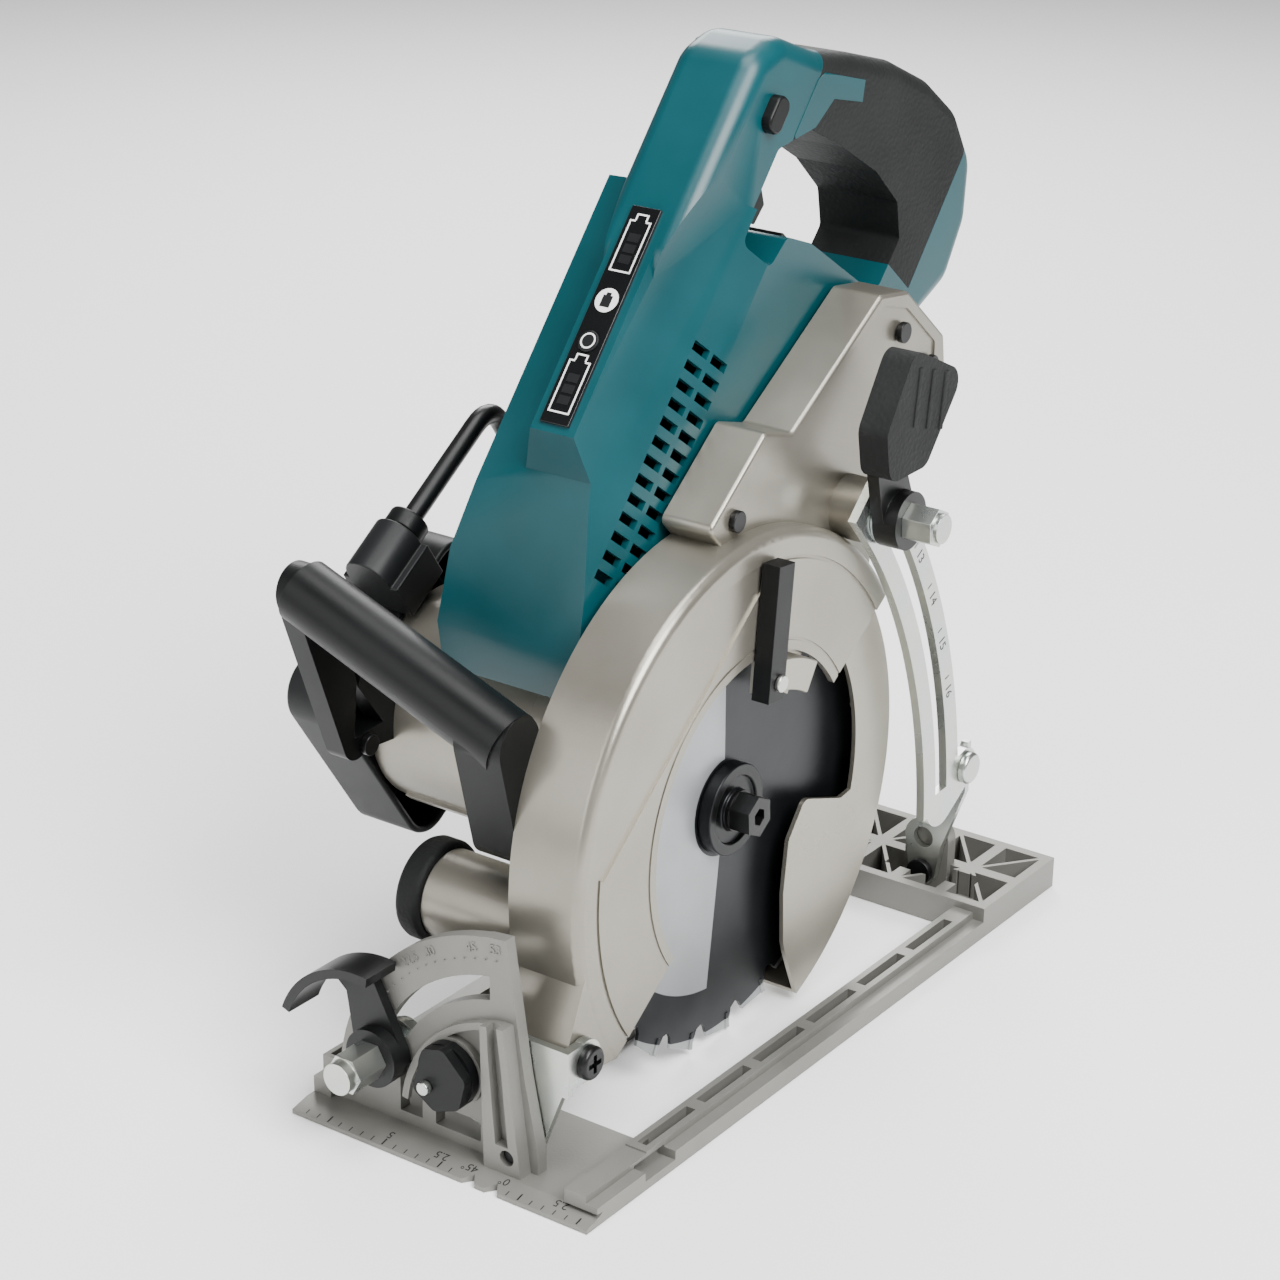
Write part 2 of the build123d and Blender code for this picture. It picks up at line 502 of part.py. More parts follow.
# ---------------------------------------------------------------- lower guard
lobe = shape([(28, -31), (12, -36), (-2, -52), (-13, -70), (-20, -92), (-24, -GUARD_R - 20), (130, -GUARD_R - 20),
              (130, -16), (76, -16), (71, -34), (54, -58), (44, -53)], 4)
guard_zone = sector(NOSE_R, GUARD_R, GUARD_START, GUARD_SWEEP)
face_zone = sector(GUARD_R - 24.5, GUARD_R, GUARD_START, GUARD_SWEEP) + (lobe & guard_zone)
face_zone += sector(46, GUARD_R, 22, GUARD_START + GUARD_SWEEP - 22)
guard = side(sector(NOSE_R + RUNNING + 0.5, GUARD_R, GUARD_START, GUARD_SWEEP), -GUARD_HALF, -GUARD_HALF + GUARD_T)
guard += tube(NOSE_R + 4, NOSE_R + RUNNING, CASE_BACK + CASE_WALL + 0.3, -GUARD_HALF + GUARD_T)
guard += side(sector(GUARD_R - GUARD_T, GUARD_R, GUARD_START, GUARD_SWEEP), -GUARD_HALF, GUARD_HALF)
guard += side(face_zone, GUARD_HALF - GUARD_T, GUARD_HALF)
parts["lower_guard"] = HEAD * guard
guard_block = side(sector(48, 60.5, 24, 27), GUARD_HALF, GUARD_HALF + 9)
parts["guard_block"] = HEAD * guard_block
LEVER_LOW = 47.0
LEVER_TIP = CASE_R - 9
lever_bar = Rot(0, 0, LEVER_ANGLE) * (Pos((LEVER_LOW + LEVER_TIP) / 2, 5) * Rectangle(LEVER_TIP - LEVER_LOW, 10))
guard_lever = side(lever_bar, CASE_FACE + 0.6, CASE_FACE + 8)
guard_lever -= side(sector(47.9, 60.6, 23.9, 27.2), GUARD_HALF, GUARD_HALF + 9.05)
parts["guard_lever"] = HEAD * guard_lever
screw_rear, screw_up = polar(54, LEVER_ANGLE + 4)
parts["guard_lever_screw"] = HEAD * bar(3.2, CASE_FACE + 8, CASE_FACE + 9.8, screw_rear, screw_up)
parts["guard_spring"] = HEAD * tube(NOSE_R + 6.6, NOSE_R + 4.6, CASE_BACK + CASE_WALL, -GUARD_HALF - 0.4)

# ---------------------------------------------------------------- spindle and blade
parts["spindle"] = HEAD * (bar(SPINDLE_R, -41, -FLANGE_T) + bar(TAIL_R, -47.8, -41) - bar(BOLT_HOLE_R, -22, 0))
flange = tube(FLANGE_R, BOLT_HOLE_R + 0.5, -FLANGE_T - 2.5, -BLADE_PLATE / 2) - bar(SPINDLE_R, -FLANGE_T - 3, -FLANGE_T)
flange += tube(BLADE_BORE_R, BOLT_HOLE_R + 0.5, -BLADE_PLATE / 2, BLADE_PLATE / 2)
parts["inner_flange"] = HEAD * flange
tooth_points = []
for tooth in range(TEETH):
    step = 360 / TEETH
    for radius, share in ((BLADE_R, 0.0), (BLADE_R - 2.5, -0.62), (BLADE_R - GULLET + 2, -0.70),
                          (BLADE_R - GULLET, -0.80), (BLADE_R - GULLET + 1.5, -0.93), (BLADE_R - 3, -0.985)):
        tooth_points.append(polar(radius, step * (share - tooth)))
tooth_points.reverse()
blade = side(shape(tooth_points), -BLADE_PLATE / 2, BLADE_PLATE / 2)
for tooth in range(TEETH):
    tip = Rot(0, 0, 360 / TEETH * tooth) * shape([(BLADE_R, 0), (BLADE_R - 7, -0.6), (BLADE_R - 7, -2.4), (BLADE_R - 0.4, -2.4)])
    blade += side(tip, -KERF / 2, KERF / 2)
blade -= bar(BLADE_BORE_R + RUNNING, -2, 2)
parts["saw_blade"] = HEAD * blade
outer = tube(FLANGE_R, BOLT_HOLE_R + 0.5, BLADE_PLATE / 2, BLADE_PLATE / 2 + FLANGE_T)
outer -= tube(13, 8, BLADE_PLATE / 2 + FLANGE_T - 1.5, BLADE_PLATE / 2 + FLANGE_T + 1)
parts["outer_flange"] = HEAD * outer
head_from = BLADE_PLATE / 2 + FLANGE_T
blade_bolt = bar(BOLT_HOLE_R, -20, head_from) + bar(8, head_from, head_from + 1.5)
blade_bolt += side(hexagon(BOLT_HEX), head_from, head_from + BOLT_HEAD)
blade_bolt -= side(hexagon(6), head_from + 4, head_from + BOLT_HEAD + 1)
parts["blade_bolt"] = HEAD * blade_bolt
gear = side(gear_outline(GEAR_TEETH, 90), -38, -28) - bar(SPINDLE_R, -39, -27)
parts["spindle_gear"] = HEAD * gear
bearing_front = tube(16, SPINDLE_R, -20, -11)
bearing_tail = tube(9, TAIL_R, -48, -42)
parts["spindle_bearings"] = HEAD * Compound([bearing_front, bearing_tail])

# ---------------------------------------------------------------- gear housing and motor
motor = {"rear": 0.0, "up": MOTOR_UP}
housing = side(disc(22.5) + disc(MOTOR_R, 0, MOTOR_UP), MOTOR_NEAR, CASE_BACK)
housing += bar(NOSE_R, CASE_BACK, -8.6)
housing -= bar(16, -20, -8)
housing -= bar(SPINDLE_R + 1, -40, -8)
housing -= bar(GEAR_TEETH * MODULE / 2 + 1.8, -40, -26)
housing -= bar(9, -48, -40)
housing -= bar(9, -42, -26, 0, MOTOR_UP)
housing -= bar(13, MOTOR_NEAR - 1, -42, 0, MOTOR_UP)
housing -= side(sector(22, 38, 20, 140).move(Location((0, MOTOR_UP))), MOTOR_NEAR - 1, CASE_BACK - 4)
parts["gear_housing"] = HEAD * housing
barrel = tube(MOTOR_R, MOTOR_R - MOTOR_WALL, MOTOR_FAR, MOTOR_NEAR, **motor)
for rib_angle in (25, 195, 345):
    rib_shape = Rot(0, 0, rib_angle) * (Pos(MOTOR_R, 0) * Rectangle(3, 4))
    barrel += side(Pos(0, MOTOR_UP) * rib_shape, MOTOR_FAR + 6, MOTOR_NEAR - 4)
parts["motor_housing"] = HEAD * barrel
COVER_HALF = MOTOR_R + COVER_PROUD
STATOR_IN = MOTOR_R - MOTOR_WALL - STATOR_T
FAN_R = MOTOR_R - MOTOR_WALL - FAN_GAP
square = Pos(0, MOTOR_UP) * RectangleRounded(2 * COVER_HALF, 2 * COVER_HALF, 14)
square_inner = Pos(0, MOTOR_UP) * RectangleRounded(2 * COVER_HALF - 6, 2 * COVER_HALF - 6, 11)
cover = side(square, COVER_FAR, MOTOR_FAR) - side(square_inner, COVER_FAR + 4, MOTOR_FAR + 1)
cover += bar(16, COVER_FAR + 4, COVER_FAR + 16, **motor)
cover -= bar(11, COVER_FAR + 7, COVER_FAR + 17, **motor)
for slot in range(5):
    cover -= side(Pos(-24 + 12 * slot, MOTOR_UP) * Rectangle(4, 52), COVER_FAR - 1, COVER_FAR + 3.0)
parts["motor_end_cover"] = HEAD * cover
stator = tube(MOTOR_R - MOTOR_WALL, STATOR_IN, -112, -66, **motor)
for pole in range(6):
    window = Rot(0, 0, 60 * pole) * (Pos(STATOR_IN + 4, 0) * Rectangle(9, 7))
    stator -= side(Pos(0, MOTOR_UP) * window, -113, -65)
parts["stator"] = HEAD * stator
shaft = bar(SHAFT_R, -138, -40, **motor)
pinion = side(Pos(0, MOTOR_UP) * gear_outline(PINION_TEETH, -90 + 180 / PINION_TEETH), -40, -27)
parts["rotor_shaft"] = HEAD * (shaft + pinion)
parts["rotor_core"] = HEAD * tube(STATOR_IN - AIR_GAP, SHAFT_R, -112, -66, **motor)
fan = tube(10, SHAFT_R, -63, -55, **motor) + tube(FAN_R, 9, -57, -55, **motor)
for vane in range(11):
    blade_shape = Rot(0, 0, 360 / 11 * vane) * (Pos((9 + FAN_R - 1) / 2, 0) * Rectangle(FAN_R - 10, 1.6))
    fan += side(Pos(0, MOTOR_UP) * blade_shape, -63, -56)
parts["cooling_fan"] = HEAD * fan
bearing_near = tube(13, SHAFT_R, MOTOR_NEAR, -43, **motor)
bearing_far = tube(11, SHAFT_R, COVER_FAR + 7, COVER_FAR + 14, **motor)
parts["rotor_bearings"] = HEAD * Compound([bearing_near, bearing_far])

# ---------------------------------------------------------------- front handle and hook
HANDLE_R = 12.0
LOW_END = (52, -20, 102)
HIGH_END = (31, -114, 127)
handle_axis = Plane(origin=LOW_END, z_dir=Vector(*HIGH_END) - Vector(*LOW_END))
handle_length = (Vector(*HIGH_END) - Vector(*LOW_END)).length
grip_bar = extrude(handle_axis * Circle(HANDLE_R), amount=handle_length)
grip_bore = extrude(handle_axis * Circle(8.5), amount=handle_length - 8)
foot = link([(-52, 102), (-68, 66)], [11, 8]) + link([(-68, 66), (-48, 66)], [7, 7])
foot += shape([(-52, 102), (-68, 66), (-48, 66)])
foot -= shape([(-56, 90), (-63, 73), (-52, 73)]) + shape([(-60, 70), (-66, 62), (-54, 62)])
leg = link([(-31, 127), (-50, 62)], [10, 7]) + shape([(-57, 62), (-30, 40), (-24, 56), (-30, 84)])
leg -= shape([(-50, 64), (-36, 56), (-37, 80)])
front_handle = grip_bar + side(foot, -36, CASE_BACK) + side(leg, -118, -109)
front_handle -= bar(MOTOR_R, -130, -10, 0, MOTOR_UP)
front_handle -= grip_bore
parts["front_handle"] = HEAD * front_handle
foot_bolts = [bar(4, -39, -36, -68, 66), bar(4, -39, -36, -48, 66)]
foot_bolts.append(bar(4, -109, -106, -47, 57))

HOOK_Y = -127.0
HOOK_UP = 86.0
HOOK_R = 4.0
hook_front = front(Pos(HOOK_Y, HOOK_UP) * Circle(10) + Pos(HOOK_Y, 77) * Rectangle(26, 2 * (77 - 69)), -24, -2)
hook_block = hook_front - rod(HOOK_R + RUNNING, -25, -6, HOOK_Y, HOOK_UP)
parts["hook_block"] = HEAD * hook_block
hook = rod(HOOK_R, -90, -6.5, HOOK_Y, HOOK_UP)
hook += Pos(-90, HOOK_Y, HOOK_UP) * Sphere(HOOK_R)
hook += Pos(-90, HOOK_Y, HOOK_UP - 30) * Cylinder(HOOK_R, 60)
parts["hook_rod"] = HEAD * hook
parts["hook_collar"] = HEAD * (rod(8, -32, -24.5, HOOK_Y, HOOK_UP) - rod(HOOK_R, -33, -24, HOOK_Y, HOOK_UP))

# ---------------------------------------------------------------- depth clamp and its lever
WASHER_Y = ARM_Y + ARM_T + 0.1
HUB_Y = WASHER_Y + 1.4
parts["depth_bolt"] = HEAD * bar(CLAMP_R, -10, HUB_Y + 21, BOSS_REAR, BOSS_UP)
parts["depth_washer"] = HEAD * tube(10, CLAMP_R, WASHER_Y, WASHER_Y + 1.3, BOSS_REAR, BOSS_UP)
neck = link([(BOSS_REAR, BOSS_UP), (BOSS_REAR + 6, BOSS_UP + 21)], [10.5, 9])
tang = shape([(BOSS_REAR - 2, BOSS_UP + 18), (BOSS_REAR + 14, BOSS_UP + 14), (BOSS_REAR + 44, BOSS_UP + 30),
              (BOSS_REAR + 30, BOSS_UP + 48), (BOSS_REAR + 6, BOSS_UP + 36)], 3)
pad = shape([(BOSS_REAR - 4, BOSS_UP + 26), (BOSS_REAR + 17, BOSS_UP + 12), (BOSS_REAR + 54, BOSS_UP + 23),
             (BOSS_REAR + 34, BOSS_UP + 57), (BOSS_REAR + 4, BOSS_UP + 44)], 7)
lever = bar(11, HUB_Y, HUB_Y + 10, BOSS_REAR, BOSS_UP) + side(neck, HUB_Y, HUB_Y + 5)
lever += side(tang, HUB_Y, HUB_Y + 5)
lever -= bar(CLAMP_R + RUNNING, HUB_Y - 1, HUB_Y + 11, BOSS_REAR, BOSS_UP)
cover = side(pad, HUB_Y - 1.2, HUB_Y + 11) - side(neck + tang + disc(13, BOSS_REAR, BOSS_UP), HUB_Y, HUB_Y + 5)
parts["depth_lever"] = HEAD * lever
parts["depth_lever_cover"] = HEAD * (cover - bar(13, HUB_Y - 2, HUB_Y + 12, BOSS_REAR, BOSS_UP))
nut = side(Pos(BOSS_REAR, BOSS_UP) * hexagon(13), HUB_Y + 10, HUB_Y + 22)
nut -= bar(CLAMP_R + RUNNING, HUB_Y + 9, HUB_Y + 21.5, BOSS_REAR, BOSS_UP)
nut += bar(5.5, HUB_Y + 22, HUB_Y + 24, BOSS_REAR, BOSS_UP)
parts["depth_lever_nut"] = HEAD * nut

# ---------------------------------------------------------------- shaft lock and the case screws
LOCK_Y = -23.0
lock = rod(2.4, 12.5, 43, LOCK_Y, 0) + rod(5.5, 42.4, 47.5, LOCK_Y, 0)
parts["shaft_lock_button"] = HEAD * lock
parts["gear_housing"] -= HEAD * rod(2.4 + RUNNING, 4, 40, LOCK_Y, 0)
case_screws = []
for along, up in ((84, 76), (186, 20), (186, -8)):
    spot = Rot(0, 0, BODY_PITCH) * Pos(along, up) * Circle(4)
    case_screws.append(side(spot, 5, 7.5))

# ---------------------------------------------------------------- battery body and rear handle
# outlines are drawn along the body (rearwards) and square to it (up)
MAIN = [(4, 80.5), (16, 94.5), (64, 115), (72, 118), (82, 133), (182, 133), (190, 100), (196, 62), (200, 28),
        (203, 5), (212, -30), (56, -30), (56, 66), (10, 66)]
LOOP = [(138, 133), (232, 133), (246, 124), (255, 98), (268, 74), (280, 48), (288, 20), (290, -6), (282, -30),
        (262, -44), (236, -48), (208, -34), (170, -12), (150, 60)]
OPENING = [(176, 100), (214, 100), (230, 86), (236, 62), (241, 34), (240, 12), (230, 0), (210, 1), (203, 8),
           (200.5, 28), (196.5, 62), (190, 80), (176, 83)]
SECTION = [(BODY_RIGHT, -60), (BODY_RIGHT, 105), (-76, 115), (-56, 118), (-50, 134), (-32, 134), (-28, 118),
           (-22, 103), (BODY_LEFT, 85), (BODY_LEFT, -60)]
main = shape(MAIN)
loop = shape(LOOP, 16)
opening = shape(OPENING, 3.5)
prism = extrude(Plane.YZ.offset(-330) * shape(SECTION), amount=340)
inner_section = offset(shape(SECTION), amount=-SHELL)
inner_prism = extrude(Plane.YZ.offset(-330) * inner_section, amount=340)
outer_main = side(main, BODY_RIGHT, BODY_LEFT) & prism
inner_main = side(offset(main, amount=-SHELL), BODY_RIGHT, BODY_LEFT) & inner_prism
handle_right = SEAM_Y - HANDLE_HALF
handle_left = SEAM_Y + HANDLE_HALF
outer_loop = side(loop, handle_right, handle_left)
outer_loop = round_off(outer_loop, level_edges(outer_loop, [handle_right, handle_left]), 8.0)
taper = shape([(-310, handle_right), (-310, handle_left), (-188, handle_left), (-138, SEAM_Y + 9), (-138, SEAM_Y - 9),
               (-188, handle_right)])
outer_loop &= plan(taper, -80, 150)
through = side(opening, handle_right - 1, handle_left + 1)
outer_loop -= through
inner_edges = [e for e in level_edges(outer_loop, [handle_right, handle_left]) if -244 < e.center().X < -204 and e.center().Z < 90]
outer_loop = round_off(outer_loop, inner_edges, 4.0)
inner_loop = side(offset(loop, amount=-6) - offset(opening, amount=5), handle_right + 4, handle_left - 4)
inner_loop &= plan(offset(taper, amount=-4), -80, 150)
finger = side(opening, SEAM_Y - 10, BODY_LEFT + 1) + side(opening & (Pos(230, 0) * Rectangle(70, 180)), -90, 0)
hull = outer_main + outer_loop - finger
hollow = inner_main + inner_loop
finger_wall = side(offset(opening, amount=SHELL), SEAM_Y - 10 - SHELL, BODY_LEFT + 1)
hollow -= finger_wall
body = hull - hollow

# docks for two batteries, open to the right
docks = []
contacts = []
for index in range(2):
    low = BAY_A + index * (BAY_LENGTH + BAY_RIB)
    skin = 2.0
    outside = side(Pos(low + BAY_LENGTH / 2, (BAY_LOW + BAY_HIGH) / 2)
                   * Rectangle(BAY_LENGTH + 2 * skin - 0.2, BAY_HIGH - BAY_LOW + 2 * skin), BODY_RIGHT, BODY_RIGHT + BAY_DEPTH + 3)
    inside = side(Pos(low + BAY_LENGTH / 2, (BAY_LOW + BAY_HIGH) / 2)
                  * Rectangle(BAY_LENGTH, BAY_HIGH - BAY_LOW), BODY_RIGHT - 1, BODY_RIGHT + BAY_DEPTH)
    dock = outside - inside
    for edge in (low + 8, low + BAY_LENGTH - 14):
        dock += side(Pos(edge + 3, BAY_HIGH - 3.5) * Rectangle(3, 7.2), BODY_RIGHT + 4, BODY_RIGHT + BAY_DEPTH + 1)
        dock += side(Pos(edge + 3, BAY_HIGH - 8) * Rectangle(7, 2.4), BODY_RIGHT + 4, BODY_RIGHT + BAY_DEPTH + 1)
    docks.append((outside, dock))
    parts["battery_dock_" + ("front", "rear")[index]] = BODY * dock
    for pin in range(4):
        blade_at = low + 20 + 8 * pin
        contacts.append(side(Pos(blade_at, BAY_HIGH - 16) * Rectangle(0.9, 9), BODY_RIGHT + BAY_DEPTH - 12, BODY_RIGHT + BAY_DEPTH))
for outside, dock in docks:
    body -= outside
parts["battery_terminals"] = BODY * Compound(contacts)

# the grip is wrapped in a soft skin
grip_zone = Pos(264, 37) * Rectangle(90, 114)
skin_side = outer_loop & side(grip_zone, handle_right, handle_left)
core_zone = offset(loop, amount=-5) - offset(opening, amount=4)
skin_side -= side(core_zone, handle_right + 3, handle_left - 3)
body -= skin_side
parts["grip_overmould"] = BODY * skin_side
core_reach = Pos(261, 37) * Rectangle(96, 122)
core = side(core_zone & core_reach, handle_right + 3, handle_left - 3)
core -= side(offset(loop, amount=-8) - offset(opening, amount=7), handle_right + 6, handle_left - 6)
body += core

# light strip along the crest, with a press button
STRIP_FROM = 85.0
STRIP_TO = 169.0
BUTTON_A = 116.5
DISC_A = 132.5
strip = side(Pos((STRIP_FROM + STRIP_TO) / 2, 132) * Rectangle(STRIP_TO - STRIP_FROM, 4.4), SEAM_Y - 6, SEAM_Y + 6)
body -= strip
strip -= extrude(Plane.XY.offset(120) * Pos(-BUTTON_A, SEAM_Y) * Circle(4 + RUNNING), amount=20)
parts["light_strip"] = BODY * strip
button = extrude(Plane.XY.offset(126) * Pos(-BUTTON_A, SEAM_Y) * Circle(4), amount=9)
parts["check_button"] = BODY * (button + extrude(Plane.XY.offset(126) * Pos(-BUTTON_A, SEAM_Y) * Circle(5.5), amount=2))

# trigger, lock-off button and the switch behind them
body -= side(Pos(206, 104) * Rectangle(30, 18), SEAM_Y - 7.5 - GAP, SEAM_Y + 7.5 + GAP)
trigger = side(shape([(194, 98), (211, 98), (211, 108), (194, 108)]) + shape([(192, 80), (201, 79), (208, 90), (211, 99), (192, 99)], 1),
               SEAM_Y - 7.5, SEAM_Y + 7.5)
parts["trigger"] = BODY * trigger
parts["switch_body"] = BODY * side(Pos(208, 117.5) * Rectangle(34, 14), SEAM_Y - 11, SEAM_Y + 11)
button_shape = Pos(221, 113) * RectangleRounded(14, 9, 4)
wall_hole = Pos(221, 113) * RectangleRounded(14 + 2 * RUNNING, 9 + 2 * RUNNING, 4 + RUNNING)
body -= side(wall_hole, SEAM_Y, BODY_LEFT)
lockoff_end = SEAM_Y + 12
parts["switch_body"] -= BODY * side(Pos(221, 113) * RectangleRounded(16, 11, 4), SEAM_Y + 8, 0)
parts["lockoff_button"] = BODY * side(button_shape, lockoff_end, handle_left + LOCKOFF_TRAVEL + 1)
board = Pos(125, 98) * Rectangle(86, 2)
parts["controller_board"] = BODY * side(board, BODY_RIGHT + 8, SEAM_Y + 14)

# cooling slots in the left face
for slot in range(13):
    for row in range(2):
        hole = Pos(46 + 7.4 * slot, 88 + 10.5 * row) * Rectangle(3.6, 8.4)
        body -= side(hole, -28 - 2 * row, BODY_LEFT + 1)
right_side = body & side(Pos(150, 0) * Rectangle(700, 700), BODY_RIGHT - 20, SEAM_Y)
left_side = body & side(Pos(150, 0) * Rectangle(700, 700), SEAM_Y, BODY_LEFT + 20)
parts["body_shell_right"] = BODY * right_side
parts["body_shell_left"] = BODY * left_side
shell_screws = []
for along, up, face in ((30, 88, BODY_RIGHT), (104, 98, BODY_RIGHT), (168, 98, BODY_RIGHT), (205, -20, BODY_RIGHT),
                        (240, 118, handle_right), (262, -36, handle_right)):
    shell_screws.append(side(disc(3.5, along, up), face - 1.5, face))
on_head = [HEAD * screw for screw in foot_bolts + case_screws]
parts["housing_screws"] = Compound(on_head + [BODY * screw for screw in shell_screws])

# ---------------------------------------------------------------- one file per piece
os.makedirs("parts", exist_ok=True)
for name, piece in parts.items():
    piece.label = name
    export_step(piece, "parts/" + name + ".step")
    box = piece.bounding_box()
    print(name, len(piece.solids()), round(piece.volume), [round(v, 1) for v in (*box.min, *box.max)])
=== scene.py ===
import json
from math import atan2, cos, degrees, pi, radians, sin

import bmesh
import bpy
from bpy.props import FloatProperty, FloatVectorProperty, IntProperty, PointerProperty
from mathutils import Matrix, Vector


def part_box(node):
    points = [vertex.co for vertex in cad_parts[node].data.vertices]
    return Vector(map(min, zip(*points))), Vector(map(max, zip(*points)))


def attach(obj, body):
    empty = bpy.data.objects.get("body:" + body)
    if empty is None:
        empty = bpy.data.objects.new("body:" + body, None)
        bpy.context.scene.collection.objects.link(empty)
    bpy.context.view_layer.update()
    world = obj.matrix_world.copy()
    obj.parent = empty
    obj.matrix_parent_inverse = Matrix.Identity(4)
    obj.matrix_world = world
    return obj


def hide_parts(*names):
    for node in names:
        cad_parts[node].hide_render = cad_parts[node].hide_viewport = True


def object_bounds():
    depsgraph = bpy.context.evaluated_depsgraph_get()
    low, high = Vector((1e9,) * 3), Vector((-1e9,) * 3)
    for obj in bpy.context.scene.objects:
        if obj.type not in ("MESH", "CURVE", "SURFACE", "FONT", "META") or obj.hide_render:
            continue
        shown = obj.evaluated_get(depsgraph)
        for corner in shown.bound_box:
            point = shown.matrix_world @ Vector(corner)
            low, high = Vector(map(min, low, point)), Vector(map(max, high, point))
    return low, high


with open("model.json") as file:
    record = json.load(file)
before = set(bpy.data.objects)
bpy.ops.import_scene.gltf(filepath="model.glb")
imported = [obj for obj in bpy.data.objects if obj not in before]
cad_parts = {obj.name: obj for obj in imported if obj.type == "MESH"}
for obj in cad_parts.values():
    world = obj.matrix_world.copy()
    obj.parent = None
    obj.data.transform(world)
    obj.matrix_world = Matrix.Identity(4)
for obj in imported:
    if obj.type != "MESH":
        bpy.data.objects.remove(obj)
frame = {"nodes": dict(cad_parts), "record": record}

bl_info = {
    "name": "Rear-Handle Circular Saw",
    "version": (1, 0, 0),
    "blender": (4, 5, 0),
    "location": "3D View > Sidebar > Saw",
    "description": "Builds a cordless rear-handle circular saw around its CAD frame",
    "category": "Add Mesh",
}

MM = 0.001
CAD_BOX = [list(corner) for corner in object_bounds()]
JOINTS = {joint["name"]: joint for joint in frame["record"]["behaviour"]["joints"]}
BODY_OF = {node: body for body, nodes in frame["record"]["behaviour"]["bodies"].items() for node in nodes}
SLOT_OF = {part["node"]: part["material_slot"] for part in frame["record"]["subparts"]}

# the head's own frame: origin on the arbor, X forward and Z up as the saw stands at full depth
ARBOR = Vector(JOINTS["spindle_spin"]["pos_m"])
LIFT = radians(JOINTS["depth_swing"]["range_deg"][1])
HEAD = Matrix.Translation(ARBOR) @ Matrix.Rotation(LIFT, 4, "Y")
# the battery body's frame: X forward along the body, Z square to it
BODY_PITCH = radians(16.0)
BODY = HEAD @ Matrix.Rotation(BODY_PITCH, 4, "Y")
BEVEL_AXIS = Vector(JOINTS["bevel_tilt"]["pos_m"])
PIVOT = Vector(JOINTS["depth_swing"]["pos_m"])
DEPTH_BOLT = HEAD.inverted() @ Vector(JOINTS["depth_lever_turn"]["pos_m"])
SEAM_Y = -41.0
BEVEL_RANGE = JOINTS["bevel_tilt"]["range_deg"][1]
# the base's front edge slopes down: its fall and run, and its height above the sole at the very front
EDGE_FALL = 2
EDGE_RUN = 9
EDGE_TOP = 0.00174
# rings of numbers and marks round the bevel axis, and the marks' distance from the depth pivot
NUMBER_R = 0.0758
MARK_R = 0.0718
ARM_MARK_R = 0.2388
# the strip on the body's crest: its top, and where its two battery signs start, in the body's millimetres
STRIP_TOP = 134.3
SIGN_STARTS = (89.0, 143.5)
INK = 0.12


# ---------------------------------------------------------------- colour and nodes
def linear(code):
    """A linear RGBA colour from an sRGB hex code."""
    channels = [int(code[i:i + 2], 16) / 255 for i in (1, 3, 5)]
    return [c / 12.92 if c <= 0.04045 else ((c + 0.055) / 1.055) ** 2.4 for c in channels] + [1.0]


def add(tree, kind, links=None, values=None, **settings):
    """Adds a node with its settings, input values and links."""
    new = tree.nodes.new(kind)
    for key, value in settings.items():
        setattr(new, key, value)
    for key, value in (values or {}).items():
        new.inputs[key].default_value = value
    for key, source in (links or {}).items():
        tree.links.new(source, new.inputs[key])
    return new


def start_material(name, **shader):
    """A material with its shader's constants set, its object coordinates and an empty tree."""
    material = bpy.data.materials.new(name)
    material.use_nodes = True
    tree = material.node_tree
    tree.nodes.clear()
    principled = add(tree, "ShaderNodeBsdfPrincipled", values=shader)
    add(tree, "ShaderNodeOutputMaterial", {"Surface": principled.outputs[0]})
    return material, tree, principled, add(tree, "ShaderNodeTexCoord").outputs["Object"]


def ramp_colours(tree, factor, stops):
    """A colour ramp node through (position, hex) stops."""
    ramp = add(tree, "ShaderNodeValToRGB", {"Fac": factor})
    elements = ramp.color_ramp.elements
    while len(elements) < len(stops):
        elements.new(0.5)
    for element, (position, code) in zip(elements, stops):
        element.position = position
        element.color = linear(code)
    return ramp.outputs[0]


def surface(name, tones, rough, grain_mm, bump_mm, coarse_mm=40.0, **shader):
    """A cast, moulded or painted finish: slow tone drift, roughness drift and a fine grain."""
    material, tree, principled, place = start_material(name, **shader)
    drift = add(tree, "ShaderNodeTexNoise", {"Vector": place}, {"Scale": 1000 / coarse_mm, "Detail": 3.0})
    colour = ramp_colours(tree, drift.outputs[0], ((0.3, tones[0]), (0.7, tones[1])))
    tree.links.new(colour, principled.inputs["Base Color"])
    spread = add(tree, "ShaderNodeMapRange", {"Value": drift.outputs[0]},
            {"From Min": 0.3, "From Max": 0.7, "To Min": rough[0], "To Max": rough[1]})
    tree.links.new(spread.outputs[0], principled.inputs["Roughness"])
    grain = add(tree, "ShaderNodeTexNoise", {"Vector": place}, {"Scale": 1000 / grain_mm, "Detail": 2.0})
    bump = add(tree, "ShaderNodeBump", {"Height": grain.outputs[0]},
            {"Strength": 0.6, "Distance": bump_mm * MM})
    tree.links.new(bump.outputs[0], principled.inputs["Normal"])
    return material


